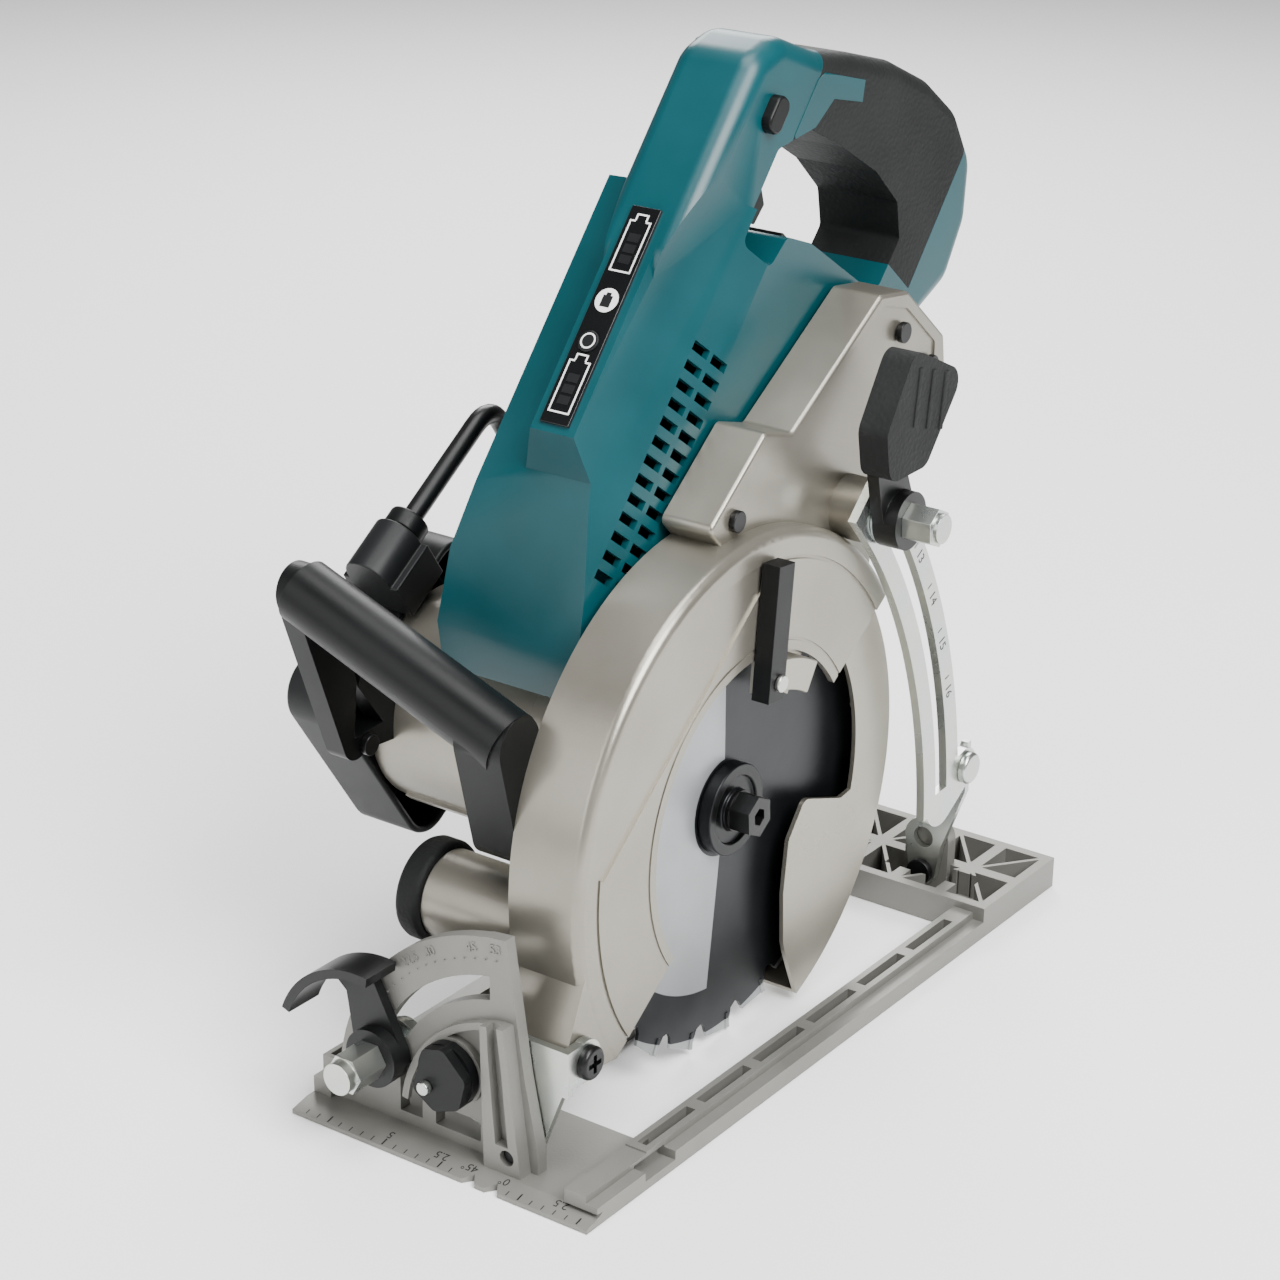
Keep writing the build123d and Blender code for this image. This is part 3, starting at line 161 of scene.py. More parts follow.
def grooved(name, tones, rough, centre, pitch_mm, **shader):
    """A turned or ground metal: fine rings round an axis along Y through centre."""
    material, tree, principled, place = start_material(name, **shader)
    moved = add(tree, "ShaderNodeMapping", {"Vector": place}, {"Location": [-c for c in centre]})
    rings = add(tree, "ShaderNodeTexWave", {"Vector": moved.outputs[0]},
                {"Scale": 1000 / (pitch_mm * 20), "Distortion": 2.0, "Detail": 2.0},
                wave_type="RINGS", rings_direction="Y", wave_profile="SIN")
    drift = add(tree, "ShaderNodeTexNoise", {"Vector": moved.outputs[0]}, {"Scale": 35.0, "Detail": 3.0})
    both = add(tree, "ShaderNodeMix", {"A": rings.outputs[1], "B": drift.outputs[0]}, {"Factor": 0.6})
    tree.links.new(ramp_colours(tree, both.outputs[0], ((0.2, tones[0]), (0.8, tones[1]))),
            principled.inputs["Base Color"])
    spread = add(tree, "ShaderNodeMapRange", {"Value": both.outputs[0]},
            {"To Min": rough[0], "To Max": rough[1]})
    tree.links.new(spread.outputs[0], principled.inputs["Roughness"])
    bump = add(tree, "ShaderNodeBump", {"Height": rings.outputs[1]},
            {"Strength": 0.25, "Distance": 0.00004})
    tree.links.new(bump.outputs[0], principled.inputs["Normal"])
    return material


def saw_blade_steel():
    """Ground tool steel with a dark lacquer and a pale printed sector; teeth end bare and bright."""
    material, tree, principled, place = start_material("lacquered_tool_steel", Metallic=0.85)
    moved = add(tree, "ShaderNodeMapping", {"Vector": place}, {"Location": [-c for c in ARBOR]})
    parts = add(tree, "ShaderNodeSeparateXYZ", {"Vector": moved.outputs[0]})
    radius = add(tree, "ShaderNodeVectorMath", {0: add(tree, "ShaderNodeCombineXYZ", {
        "X": parts.outputs[0], "Z": parts.outputs[2]}).outputs[0]}, operation="LENGTH").outputs["Value"]
    angle = add(tree, "ShaderNodeMath", {0: parts.outputs[2], 1: parts.outputs[0]},
            operation="ARCTAN2").outputs[0]
    inside = add(tree, "ShaderNodeMath", {0: radius}, {1: 0.072}, operation="LESS_THAN").outputs[0]
    outside = add(tree, "ShaderNodeMath", {0: radius}, {1: 0.019}, operation="GREATER_THAN").outputs[0]
    turned = add(tree, "ShaderNodeMath", {0: angle}, {1: 0.05}, operation="SUBTRACT").outputs[0]
    wide = add(tree, "ShaderNodeMath", {0: turned}, operation="ABSOLUTE").outputs[0]
    sector = add(tree, "ShaderNodeMath", {0: wide}, {1: 1.5}, operation="LESS_THAN").outputs[0]
    ring = add(tree, "ShaderNodeMath", {0: inside, 1: outside}, operation="MULTIPLY").outputs[0]
    printed = add(tree, "ShaderNodeMath", {0: ring, 1: sector}, operation="MULTIPLY").outputs[0]
    tone = add(tree, "ShaderNodeTexNoise", {"Vector": moved.outputs[0]}, {"Scale": 30.0, "Detail": 4.0})
    body = ramp_colours(tree, tone.outputs[0], ((0.3, "#1b1d1f"), (0.7, "#282a2d")))
    label = ramp_colours(tree, tone.outputs[0], ((0.3, "#86898a"), (0.7, "#94979a")))
    tip = add(tree, "ShaderNodeMath", {0: radius}, {1: 0.0905}, operation="GREATER_THAN").outputs[0]
    ground = ramp_colours(tree, tone.outputs[0], ((0.3, "#8d8f90"), (0.7, "#a9abac")))
    marked = add(tree, "ShaderNodeMix", {0: printed, 6: body, 7: label}, data_type="RGBA")
    colour = add(tree, "ShaderNodeMix", {0: tip, 6: marked.outputs[2], 7: ground}, data_type="RGBA")
    tree.links.new(colour.outputs[2], principled.inputs["Base Color"])
    metal = add(tree, "ShaderNodeMapRange", {"Value": printed}, {"To Min": 0.7, "To Max": 0.35})
    tree.links.new(metal.outputs[0], principled.inputs["Metallic"])
    rough = add(tree, "ShaderNodeMapRange", {"Value": tone.outputs[0]}, {"To Min": 0.30, "To Max": 0.40})
    tree.links.new(rough.outputs[0], principled.inputs["Roughness"])
    grain = add(tree, "ShaderNodeTexNoise", {"Vector": moved.outputs[0]}, {"Scale": 1500.0})
    bump = add(tree, "ShaderNodeBump", {"Height": grain.outputs[0]}, {"Strength": 0.2, "Distance": 0.00003})
    tree.links.new(bump.outputs[0], principled.inputs["Normal"])
    return material


def pebbled_elastomer():
    """Thermoplastic rubber with a moulded pebble about 1.6 mm across: matt, with small glints."""
    material, tree, principled, place = start_material("pebbled_elastomer",
            **{"Base Color": linear("#161717"), "Roughness": 0.62, "Specular IOR Level": 0.2})
    cells = add(tree, "ShaderNodeTexVoronoi", {"Vector": place}, {"Scale": 1000 / 1.6}, feature="SMOOTH_F1")
    drift = add(tree, "ShaderNodeTexNoise", {"Vector": place}, {"Scale": 30.0})
    colour = ramp_colours(tree, drift.outputs[0], ((0.3, "#121313"), (0.7, "#1b1c1c")))
    tree.links.new(colour, principled.inputs["Base Color"])
    bump = add(tree, "ShaderNodeBump", {"Height": cells.outputs[0]}, {"Strength": 0.8, "Distance": 0.00022})
    tree.links.new(bump.outputs[0], principled.inputs["Normal"])
    return material


MATERIALS = {}
TREES = {}


def make_materials():
    """Every finish on the saw, keyed by the record's material slot or by its own name."""
    m = MATERIALS
    sizes = bpy.context.scene.saw_finish
    # sand-cast aluminium, shot blasted: a dull pale grey with a sandy grain
    m["cast_base"] = surface("shot_blasted_aluminium", ("#74736e", "#7f7e79"), (0.42, 0.52), 0.8, 0.10,
            Metallic=0.45)
    # magnesium casting under silver metallic paint: bright, soft highlights
    m["magnesium"] = surface("silver_painted_magnesium", ("#858177", "#928e84"), (0.28, 0.36), 0.6, 0.05,
            Metallic=0.72, **{"Coat Weight": 0.15, "Coat Roughness": 0.3})
    m["guard_alloy"] = surface("pressed_guard_alloy", ("#928e83", "#a09c91"), (0.26, 0.34), 0.5, 0.03,
            Metallic=0.85)
    # zinc plate on steel: bright, slightly blue and yellow in drifts
    m["zinc_steel"] = surface("zinc_plated_steel", ("#b4bab8", "#bfc1b9"), (0.26, 0.31), 0.5, 0.02,
            coarse_mm=14.0, Metallic=0.95)
    m["black_steel"] = surface("black_oxide_steel", ("#0a0a0b", "#121314"), (0.32, 0.44), 0.5, 0.04,
            Metallic=0.4)
    m["blade_steel"] = saw_blade_steel()
    m["carbide"] = surface("sintered_carbide", ("#77756f", "#8b8983"), (0.25, 0.35), 0.3, 0.02,
            Metallic=0.9)
    # glass-filled nylon, moulded: deep blue green with a satin gloss
    m["teal_plastic"] = surface("moulded_teal_nylon", (sizes.teal_dark_code(), sizes.teal_light_code()),
            (0.30, 0.38), 0.5, 0.025, IOR=1.53, **{"Specular IOR Level": 0.36})
    m["black_plastic"] = surface("moulded_black_nylon", ("#070808", "#0c0d0e"), (0.34, 0.44), 0.5, 0.05,
            IOR=1.53, **{"Specular IOR Level": 0.2})
    m["dark_grey_plastic"] = surface("moulded_grey_nylon", ("#121314", "#1a1b1c"), (0.38, 0.48), 0.6, 0.06,
            IOR=1.53, **{"Specular IOR Level": 0.2})
    m["black_rubber"] = pebbled_elastomer()
    m["gear_steel"] = grooved("ground_gear_steel", ("#8a8b8c", "#a8a9aa"), (0.2, 0.36), ARBOR, 0.6,
            Metallic=0.95)
    m["flange_steel"] = grooved("turned_black_steel", ("#0e0f10", "#1f2022"), (0.26, 0.4), ARBOR, 0.8,
            Metallic=0.7)
    m["copper_core"] = surface("enamelled_copper", ("#8c4a26", "#a85f34"), (0.25, 0.4), 0.5, 0.1,
            Metallic=0.8)
    m["circuit_board"] = surface("solder_mask", ("#0c3a22", "#124a2d"), (0.3, 0.4), 0.6, 0.03)
    m["black_print"] = surface("black_pad_print", ("#101112", "#18191a"), (0.5, 0.6), 0.4, 0.01)
    m["white_print"] = surface("white_pad_print", ("#dcdedd", "#e8e9e8"), (0.45, 0.55), 0.4, 0.01)
    m["panel_gloss"] = surface("gloss_black_acrylic", ("#08090a", "#0d0e0f"), (0.12, 0.18), 0.6, 0.01,
            IOR=1.49)


# ---------------------------------------------------------------- mesh helpers
def place_mesh(name, mesh, material, body, replaced=(), smooth=40.0):
    """Puts a finished mesh at the origin as a piece that rides on a body."""
    mesh.materials.clear()
    mesh.materials.append(MATERIALS[material])
    if smooth:
        mesh.shade_smooth()
        mesh.set_sharp_from_angle(angle=radians(smooth))
    piece = bpy.data.objects.new(name, mesh)
    bpy.context.scene.collection.objects.link(piece)
    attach(piece, body)
    if replaced:
        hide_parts(*replaced)
    return piece


def bake(holder, name):
    """The evaluated mesh of an object, with its modifiers taken off and the object removed."""
    bpy.context.view_layer.update()
    graph = bpy.context.evaluated_depsgraph_get()
    mesh = bpy.data.meshes.new_from_object(holder.evaluated_get(graph))
    mesh.name = name
    bpy.data.objects.remove(holder)
    return mesh


def soften(mesh, width_mm, segments=2, angle=32.0):
    """Rounds the sharp edges of a mesh and returns the new mesh."""
    holder = bpy.data.objects.new("holder", mesh)
    bpy.context.scene.collection.objects.link(holder)
    bevel = holder.modifiers.new("round", "BEVEL")
    bevel.width = width_mm * MM
    bevel.segments = segments
    bevel.limit_method = "ANGLE"
    bevel.angle_limit = radians(angle)
    bevel.use_clamp_overlap = True
    mesh = bake(holder, mesh.name)
    mesh.shade_smooth()
    mesh.set_sharp_from_angle(angle=radians(45.0))
    holder = bpy.data.objects.new("holder", mesh)
    bpy.context.scene.collection.objects.link(holder)
    flat = holder.modifiers.new("flat", "WEIGHTED_NORMAL")
    flat.keep_sharp = True
    flat.weight = 80
    return bake(holder, mesh.name)


def cad_mesh(node):
    """A clean copy of a CAD node's mesh: merged, with its flat faces joined."""
    mesh = frame["nodes"][node].data.copy()
    build = bmesh.new()
    build.from_mesh(mesh)
    bmesh.ops.remove_doubles(build, verts=build.verts, dist=2e-6)
    bmesh.ops.dissolve_limit(build, angle_limit=radians(0.8), verts=build.verts, edges=build.edges)
    build.to_mesh(mesh)
    build.free()
    return mesh


def rounded_node(node, width_mm, material=None, segments=2):
    """A CAD node's shape with its edges rounded as the real piece's are."""
    slot = SLOT_OF[node]
    mesh = soften(cad_mesh(node), width_mm, segments)
    return place_mesh(node + "_finished", mesh, material or slot, BODY_OF[node], (node,), smooth=0)


def prism_mesh(name, outline, low, high, matrix, width_mm=0.0):
    """A mesh between two levels along local Y, from an outline in local X and Z, in millimetres."""
    build = bmesh.new()
    near = [build.verts.new((x * MM, low * MM, z * MM)) for x, z in outline]
    far = [build.verts.new((x * MM, high * MM, z * MM)) for x, z in outline]
    build.faces.new(near)
    build.faces.new(far[::-1])
    for i in range(len(outline)):
        j = (i + 1) % len(outline)
        build.faces.new((near[j], near[i], far[i], far[j]))
    bmesh.ops.recalc_face_normals(build, faces=build.faces)
    build.transform(matrix)
    mesh = bpy.data.meshes.new(name)
    build.to_mesh(mesh)
    build.free()
    return soften(mesh, width_mm) if width_mm else mesh


def inlay_mesh(node, outline, low, high, matrix, proud_mm):
    """The skin of a CAD node inside an outline in local X and Z, standing proud of it."""
    skin = bpy.data.objects.new("skin", cad_mesh(node))
    cutter = bpy.data.objects.new("cutter", prism_mesh("cutter", outline, low, high, matrix))
    for item in (skin, cutter):
        bpy.context.scene.collection.objects.link(item)
    swell = skin.modifiers.new("swell", "DISPLACE")
    swell.strength = proud_mm * MM
    swell.mid_level = 0.0
    meet = skin.modifiers.new("meet", "BOOLEAN")
    meet.operation = "INTERSECT"
    meet.solver = "EXACT"
    meet.object = cutter
    mesh = bake(skin, node + "_inlay")
    bpy.data.objects.remove(cutter)
    return mesh


def join_meshes(name, meshes):
    """One mesh from several."""
    build = bmesh.new()
    for mesh in meshes:
        build.from_mesh(mesh)
    joined = bpy.data.meshes.new(name)
    build.to_mesh(joined)
    build.free()
    return joined


def text_mesh(text, size_mm, matrix, thick_mm=0.12, align="CENTER"):
    """Raised lettering as a mesh, standing on the matrix's XY plane."""
    curve = bpy.data.curves.new("text", "FONT")
    curve.body = text
    curve.size = size_mm * MM
    curve.extrude = thick_mm * MM / 2
    curve.align_x = align
    curve.align_y = "CENTER"
    curve.resolution_u = 3
    holder = bpy.data.objects.new("text", curve)
    bpy.context.scene.collection.objects.link(holder)
    mesh = bake(holder, "text_" + text)
    mesh.transform(matrix)
    return mesh


def frame_matrix(origin, x_axis, z_axis):
    """A matrix whose X and Z axes point as given."""
    x_axis = Vector(x_axis).normalized()
    z_axis = Vector(z_axis).normalized()
    y_axis = z_axis.cross(x_axis)
    turn = Matrix((x_axis, y_axis, z_axis)).transposed().to_4x4()
    return Matrix.Translation(origin) @ turn


def circle(radius, count=32, x=0.0, z=0.0, start=0.0, sweep=360.0):
    """Points of an arc, or of a whole circle."""
    steps = count if sweep == 360.0 else count - 1
    turns = [radians(start + sweep * i / steps) for i in range(count)]
    return [(x + radius * cos(t), z + radius * sin(t)) for t in turns]


def tube_mesh(name, points, radius_mm, sides=20):
    """A round tube along points in metres, with its ends closed."""
    curve = bpy.data.curves.new(name, "CURVE")
    curve.dimensions = "3D"
    line = curve.splines.new("POLY")
    line.points.add(len(points) - 1)
    for spot, point in zip(line.points, points):
        spot.co = (*point, 1.0)
    curve.bevel_depth = radius_mm * MM
    curve.bevel_resolution = max(1, sides // 4 - 1)
    curve.use_fill_caps = True
    holder = bpy.data.objects.new(name, curve)
    bpy.context.scene.collection.objects.link(holder)
    return bake(holder, name)


def bent(points, radius_mm, steps=8):
    """A polyline in metres with its corners turned into arcs."""
    points = [Vector(p) for p in points]
    path = [points[0]]
    for before, corner, after in zip(points, points[1:], points[2:]):
        a = (before - corner).normalized() * radius_mm * MM
        b = (after - corner).normalized() * radius_mm * MM
        for i in range(steps + 1):
            t = i / steps
            path.append((corner + a) * (1 - t) ** 2 + corner * 2 * t * (1 - t) + (corner + b) * t ** 2)
    path.append(points[-1])
    return path


# ---------------------------------------------------------------- geometry nodes
def line_tree():
    """Small blocks repeated along a line: count, step, start and block size."""
    tree = bpy.data.node_groups.new("repeat_blocks", "GeometryNodeTree")
    face = tree.interface
    face.new_socket("Geometry", in_out="OUTPUT", socket_type="NodeSocketGeometry")
    face.new_socket("Count", in_out="INPUT", socket_type="NodeSocketInt")
    for socket in ("Start", "Step", "Block size"):
        face.new_socket(socket, in_out="INPUT", socket_type="NodeSocketVector")
    face.new_socket("Material", in_out="INPUT", socket_type="NodeSocketMaterial")
    given = add(tree, "NodeGroupInput")
    line = add(tree, "GeometryNodeMeshLine", {"Count": given.outputs["Count"],
            "Start Location": given.outputs["Start"], "Offset": given.outputs["Step"]})
    block = add(tree, "GeometryNodeMeshCube", {"Size": given.outputs["Block size"]})
    spread = add(tree, "GeometryNodeInstanceOnPoints", {"Points": line.outputs[0],
            "Instance": block.outputs[0]})
    real = add(tree, "GeometryNodeRealizeInstances", {"Geometry": spread.outputs[0]})
    coat = add(tree, "GeometryNodeSetMaterial", {"Geometry": real.outputs[0],
            "Material": given.outputs["Material"]})
    add(tree, "NodeGroupOutput", {"Geometry": coat.outputs[0]})
    return tree


def arc_tree():
    """Small blocks repeated round an axis along Z: count, radius, first angle, sweep and block size."""
    tree = bpy.data.node_groups.new("repeat_round", "GeometryNodeTree")
    face = tree.interface
    face.new_socket("Geometry", in_out="OUTPUT", socket_type="NodeSocketGeometry")
    face.new_socket("Count", in_out="INPUT", socket_type="NodeSocketInt")
    for socket in ("Radius", "First angle", "Sweep"):
        face.new_socket(socket, in_out="INPUT", socket_type="NodeSocketFloat")
    face.new_socket("Block size", in_out="INPUT", socket_type="NodeSocketVector")
    face.new_socket("Material", in_out="INPUT", socket_type="NodeSocketMaterial")
    given = add(tree, "NodeGroupInput")
    arc = add(tree, "GeometryNodeCurveArc", {"Resolution": given.outputs["Count"],
            "Radius": given.outputs["Radius"], "Start Angle": given.outputs["First angle"],
            "Sweep Angle": given.outputs["Sweep"]})
    dots = add(tree, "GeometryNodeCurveToPoints", {"Curve": arc.outputs[0]}, mode="EVALUATED")
    block = add(tree, "GeometryNodeMeshCube", {"Size": given.outputs["Block size"]})
    spread = add(tree, "GeometryNodeInstanceOnPoints", {"Points": dots.outputs["Points"],
            "Instance": block.outputs[0], "Rotation": dots.outputs["Rotation"]})
    real = add(tree, "GeometryNodeRealizeInstances", {"Geometry": spread.outputs[0]})
    coat = add(tree, "GeometryNodeSetMaterial", {"Geometry": real.outputs[0],
            "Material": given.outputs["Material"]})
    add(tree, "NodeGroupOutput", {"Geometry": coat.outputs[0]})
    return tree


def grow(tree, name, matrix, **values):
    """Runs a node tree with its inputs set by identifier, and returns a plain mesh in place."""
    holder = bpy.data.objects.new(name, bpy.data.meshes.new(name))
    bpy.context.scene.collection.objects.link(holder)
    modifier = holder.modifiers.new("grow", "NODES")
    modifier.node_group = tree
    for item in tree.interface.items_tree:
        if item.in_out == "INPUT" and item.name in values:
            modifier[item.identifier] = values[item.name]
    mesh = bake(holder, name)
    mesh.transform(matrix)
    return mesh


# ---------------------------------------------------------------- settings
class SawFinish(bpy.types.PropertyGroup):
    teal: FloatVectorProperty(name="Housing colour", description="sRGB colour of the moulded body",
            subtype="COLOR_GAMMA", default=(0.0, 0.24, 0.265), size=3, min=0.0, max=1.0)
    edge: FloatProperty(name="Housing edge", description="Radius of the body's moulded edges",
            default=0.0018, unit="LENGTH")
    cast_edge: FloatProperty(name="Casting edge", description="Radius of the castings' edges",
            default=0.0009, unit="LENGTH")

    def teal_dark_code(self):
        return "#" + "".join("%02x" % round(255 * min(1.0, c * 0.93)) for c in self.teal)

    def teal_light_code(self):
        return "#" + "".join("%02x" % round(255 * min(1.0, c * 1.05)) for c in self.teal)


class SawScale(bpy.types.PropertyGroup):
    tick_step: FloatProperty(name="Tick spacing", description="Spacing of the marks on the front edge",
            default=0.005, unit="LENGTH")
    tick_count: IntProperty(name="Tick count", description="Number of marks right of the sight notches",
            default=14, min=2)
    digit: FloatProperty(name="Digit height", description="Height of the printed numbers", default=0.0048,
            unit="LENGTH")


class SawStage(bpy.types.PropertyGroup):
    floor: FloatProperty(name="Floor size", description="Width of the floor", default=6.0, unit="LENGTH")
    key: FloatProperty(name="Key light", description="Power of the large soft light", default=80.0,
            unit="POWER")
    world: FloatProperty(name="Room light", description="Strength of the room's even light", default=0.2)


class SAW_OT_base(bpy.types.Operator):
    """Build the cast base with its quadrant, scales and stop knob"""
    bl_idname = "saw.base"
    bl_label = "Base"

    def execute(self, context):
        edge = context.scene.saw_finish.cast_edge / MM
        scale = context.scene.saw_scale
        rounded_node("base_plate", edge * 0.8)
        rounded_node("bevel_pivot_pins", 0.5)
        rounded_node("bevel_stop_knob", 1.2)
        rounded_node("bevel_stop_pin", 0.6)
        # marks every 5 mm along the sloping front edge, some of them longer, with a gap at the sight notches
        low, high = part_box("base_plate")
        slope = atan2(EDGE_FALL, EDGE_RUN)
        edge_frame = frame_matrix((high.x, 0, low.z + EDGE_TOP), (cos(slope), 0, -sin(slope)),
                (sin(slope), 0, cos(slope)))
        black = MATERIALS["black_print"]
        marks = []
        for count, first, length, step in ((scale.tick_count, -0.084, 0.0022, 1), (7, 0.006, 0.0022, 1),
                (3, -0.074, 0.0032, 5), (2, 0.011, 0.0032, 5)):
            width = 0.0004 if step == 1 else 0.0006
            marks.append(grow(TREES["line"], "marks", edge_frame, Count=count,
                    Start=(-0.0006 - length / 2, first, 0), Step=(0, scale.tick_step * step, 0),
                    Material=black, **{"Block size": (length, width, 0.0001)}))
        for label, y in (("5", -49), ("2.5", -26), ("45\N{DEGREE SIGN}", -13.5), ("0\N{DEGREE SIGN}", 1.5),
                ("2.5", 26)):
            spot = edge_frame @ frame_matrix((-0.0061, y * MM, 0), (0, -1, 0), (0, 0, 1))
            marks.append(text_mesh(label, scale.digit / MM, spot, 0.1))
        place_mesh("base_scale_print", join_meshes("base_scale_print", marks), "black_print", "base",
                smooth=0)
        # raised numbers round the quadrant
        raised = []
        face_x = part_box("bevel_clamp_washer")[0].x - 0.0001
        for label, turn in (("53", 97), ("45", 105), ("30", 120), ("22.5", 128)):
            y, z = (NUMBER_R * cos(radians(turn)), BEVEL_AXIS.z + NUMBER_R * sin(radians(turn)))
            around = radians(turn - 90)
            spot = frame_matrix((face_x, y, z), (0, cos(around), sin(around)), (1, 0, 0))
            raised.append(text_mesh(label, 5.0, spot, 0.8))
        ticks = grow(TREES["arc"], "ticks", frame_matrix((face_x, 0, BEVEL_AXIS.z), (0, 1, 0), (1, 0, 0)),
                Count=15, Radius=MARK_R, Sweep=radians(BEVEL_RANGE),
                **{"First angle": radians(97), "Block size": (0.0004, 0.0014, 0.0006),
                "Material": MATERIALS["cast_base"]})
        place_mesh("quadrant_numbers", join_meshes("quadrant_numbers", raised + [ticks]), "cast_base",
                "base", smooth=0)
        return {"FINISHED"}


class SAW_OT_tilt_frame(bpy.types.Operator):
    """Build the tilting frame: bracket, clamp, depth arm and swivel bracket"""
    bl_idname = "saw.tilt_frame"
    bl_label = "Tilting frame"

    def execute(self, context):
        for node, width in (("tilt_bracket", 0.6), ("depth_pivot_screw", 0.5), ("depth_pivot_nut", 0.6),
                ("bevel_clamp_bolt", 0.5), ("bevel_clamp_washer", 0.2), ("depth_arm", 0.5),
                ("arm_pin", 0.6), ("rear_swivel_bracket", 0.6), ("bevel_lever", 0.8),
                ("bevel_lever_nut", 0.9)):
            rounded_node(node, width)
        # depth marks along the outer band of the arm
        arm_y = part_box("depth_arm")[1].y
        pivot = Vector((PIVOT.x, arm_y, PIVOT.z))
        marks = []
        for index, label in enumerate(("12", "13", "14", "15", "16")):
            turn = radians(37.0 - index * 5.6)
            away = Vector((-cos(turn), 0, sin(turn)))
            spot = pivot + away * ARM_MARK_R
            down = Vector((sin(turn), 0, cos(turn)))
            marks.append(text_mesh(label, 6.0, frame_matrix(spot, -down, (0, 1, 0)), 0.14))
            marks.append(prism_mesh("tick", [(-1.6, -0.3), (1.6, -0.3), (1.6, 0.3), (-1.6, 0.3)], 0, 0.07,
                                    frame_matrix(pivot + away * ARM_MARK_R + down * 0.0065, away, down)))
        place_mesh("depth_arm_print", join_meshes("depth_arm_print", marks), "black_print", "tilt_frame",
                smooth=0)
        return {"FINISHED"}


class SAW_OT_case(bpy.types.Operator):
    """Build the blade case, gear housing and motor"""
    bl_idname = "saw.case"
    bl_label = "Blade case and motor"

    def execute(self, context):
        edge = context.scene.saw_finish.cast_edge / MM
        for node, width in (("blade_case", edge * 1.1), ("gear_housing", edge), ("motor_housing", edge),
                ("motor_end_cover", edge * 1.6), ("dust_nozzle", 0.7), ("dust_ring", 2.0),
                ("front_handle", 1.4), ("hook_collar", 1.0), ("depth_bolt", 0.4), ("depth_washer", 0.2),
                ("shaft_lock_button", 0.8), ("housing_screws", 0.4)):
            rounded_node(node, width)
        rounded_node("hook_block", 1.0, "dark_grey_plastic")
        corners = [HEAD @ Vector(spot) for spot in ((-0.0065, -0.127, 0.086), (-0.09, -0.127, 0.086),
                (-0.09, -0.127, 0.027))]
        rod = tube_mesh("hook_rod", bent(corners, 12), 3.95, 24)
        place_mesh("hook_rod_finished", rod, "black_steel", "hook", ("hook_rod",))
        return {"FINISHED"}


class SAW_OT_depth_lever(bpy.types.Operator):
    """Build the depth clamp's lever with its ribbed rubber cover"""
    bl_idname = "saw.depth_lever"
    bl_label = "Depth lever"

    def execute(self, context):
        rounded_node("depth_lever", 0.8)
        rounded_node("depth_lever_cover", 2.2, segments=3)
        rounded_node("depth_lever_nut", 0.9)
        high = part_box("depth_lever_cover")[1].y
        ribs = []
        for index in range(3):
            centre = HEAD @ Vector((DEPTH_BOLT.x - (0.026 + 0.006 * index), 0,
                    DEPTH_BOLT.z + 0.040 - 0.0075 * index))
            spot = Matrix.Translation((centre.x, 0, centre.z)) @ Matrix.Rotation(LIFT + radians(48), 4, "Y")
            ribs.append(prism_mesh("rib", [(-11, -1.4), (11, -1.4), (11, 1.4), (-11, 1.4)], high / MM - 0.4,
                    high / MM + 0.5, spot, 0.5))
        place_mesh("depth_lever_ribs", join_meshes("depth_lever_ribs", ribs), "black_rubber",
                "depth_clamp_lever")
        return {"FINISHED"}


class SAW_OT_guard(bpy.types.Operator):
    """Build the sprung lower guard and its lever"""
    bl_idname = "saw.guard"
    bl_label = "Lower guard"

    def execute(self, context):
        for node, width in (("lower_guard", 0.7), ("guard_block", 0.8), ("guard_lever", 0.9),
                ("guard_lever_screw", 0.4)):
            rounded_node(node, width)
        return {"FINISHED"}


class SAW_OT_blade(bpy.types.Operator):
    """Build the blade, its flanges and bolt"""
    bl_idname = "saw.blade"
    bl_label = "Blade"

    def execute(self, context):
        rounded_node("saw_blade", 0.1, segments=1)
        rounded_node("outer_flange", 0.6, "flange_steel")
        rounded_node("inner_flange", 0.4, "flange_steel")
        rounded_node("blade_bolt", 0.5)
        return {"FINISHED"}


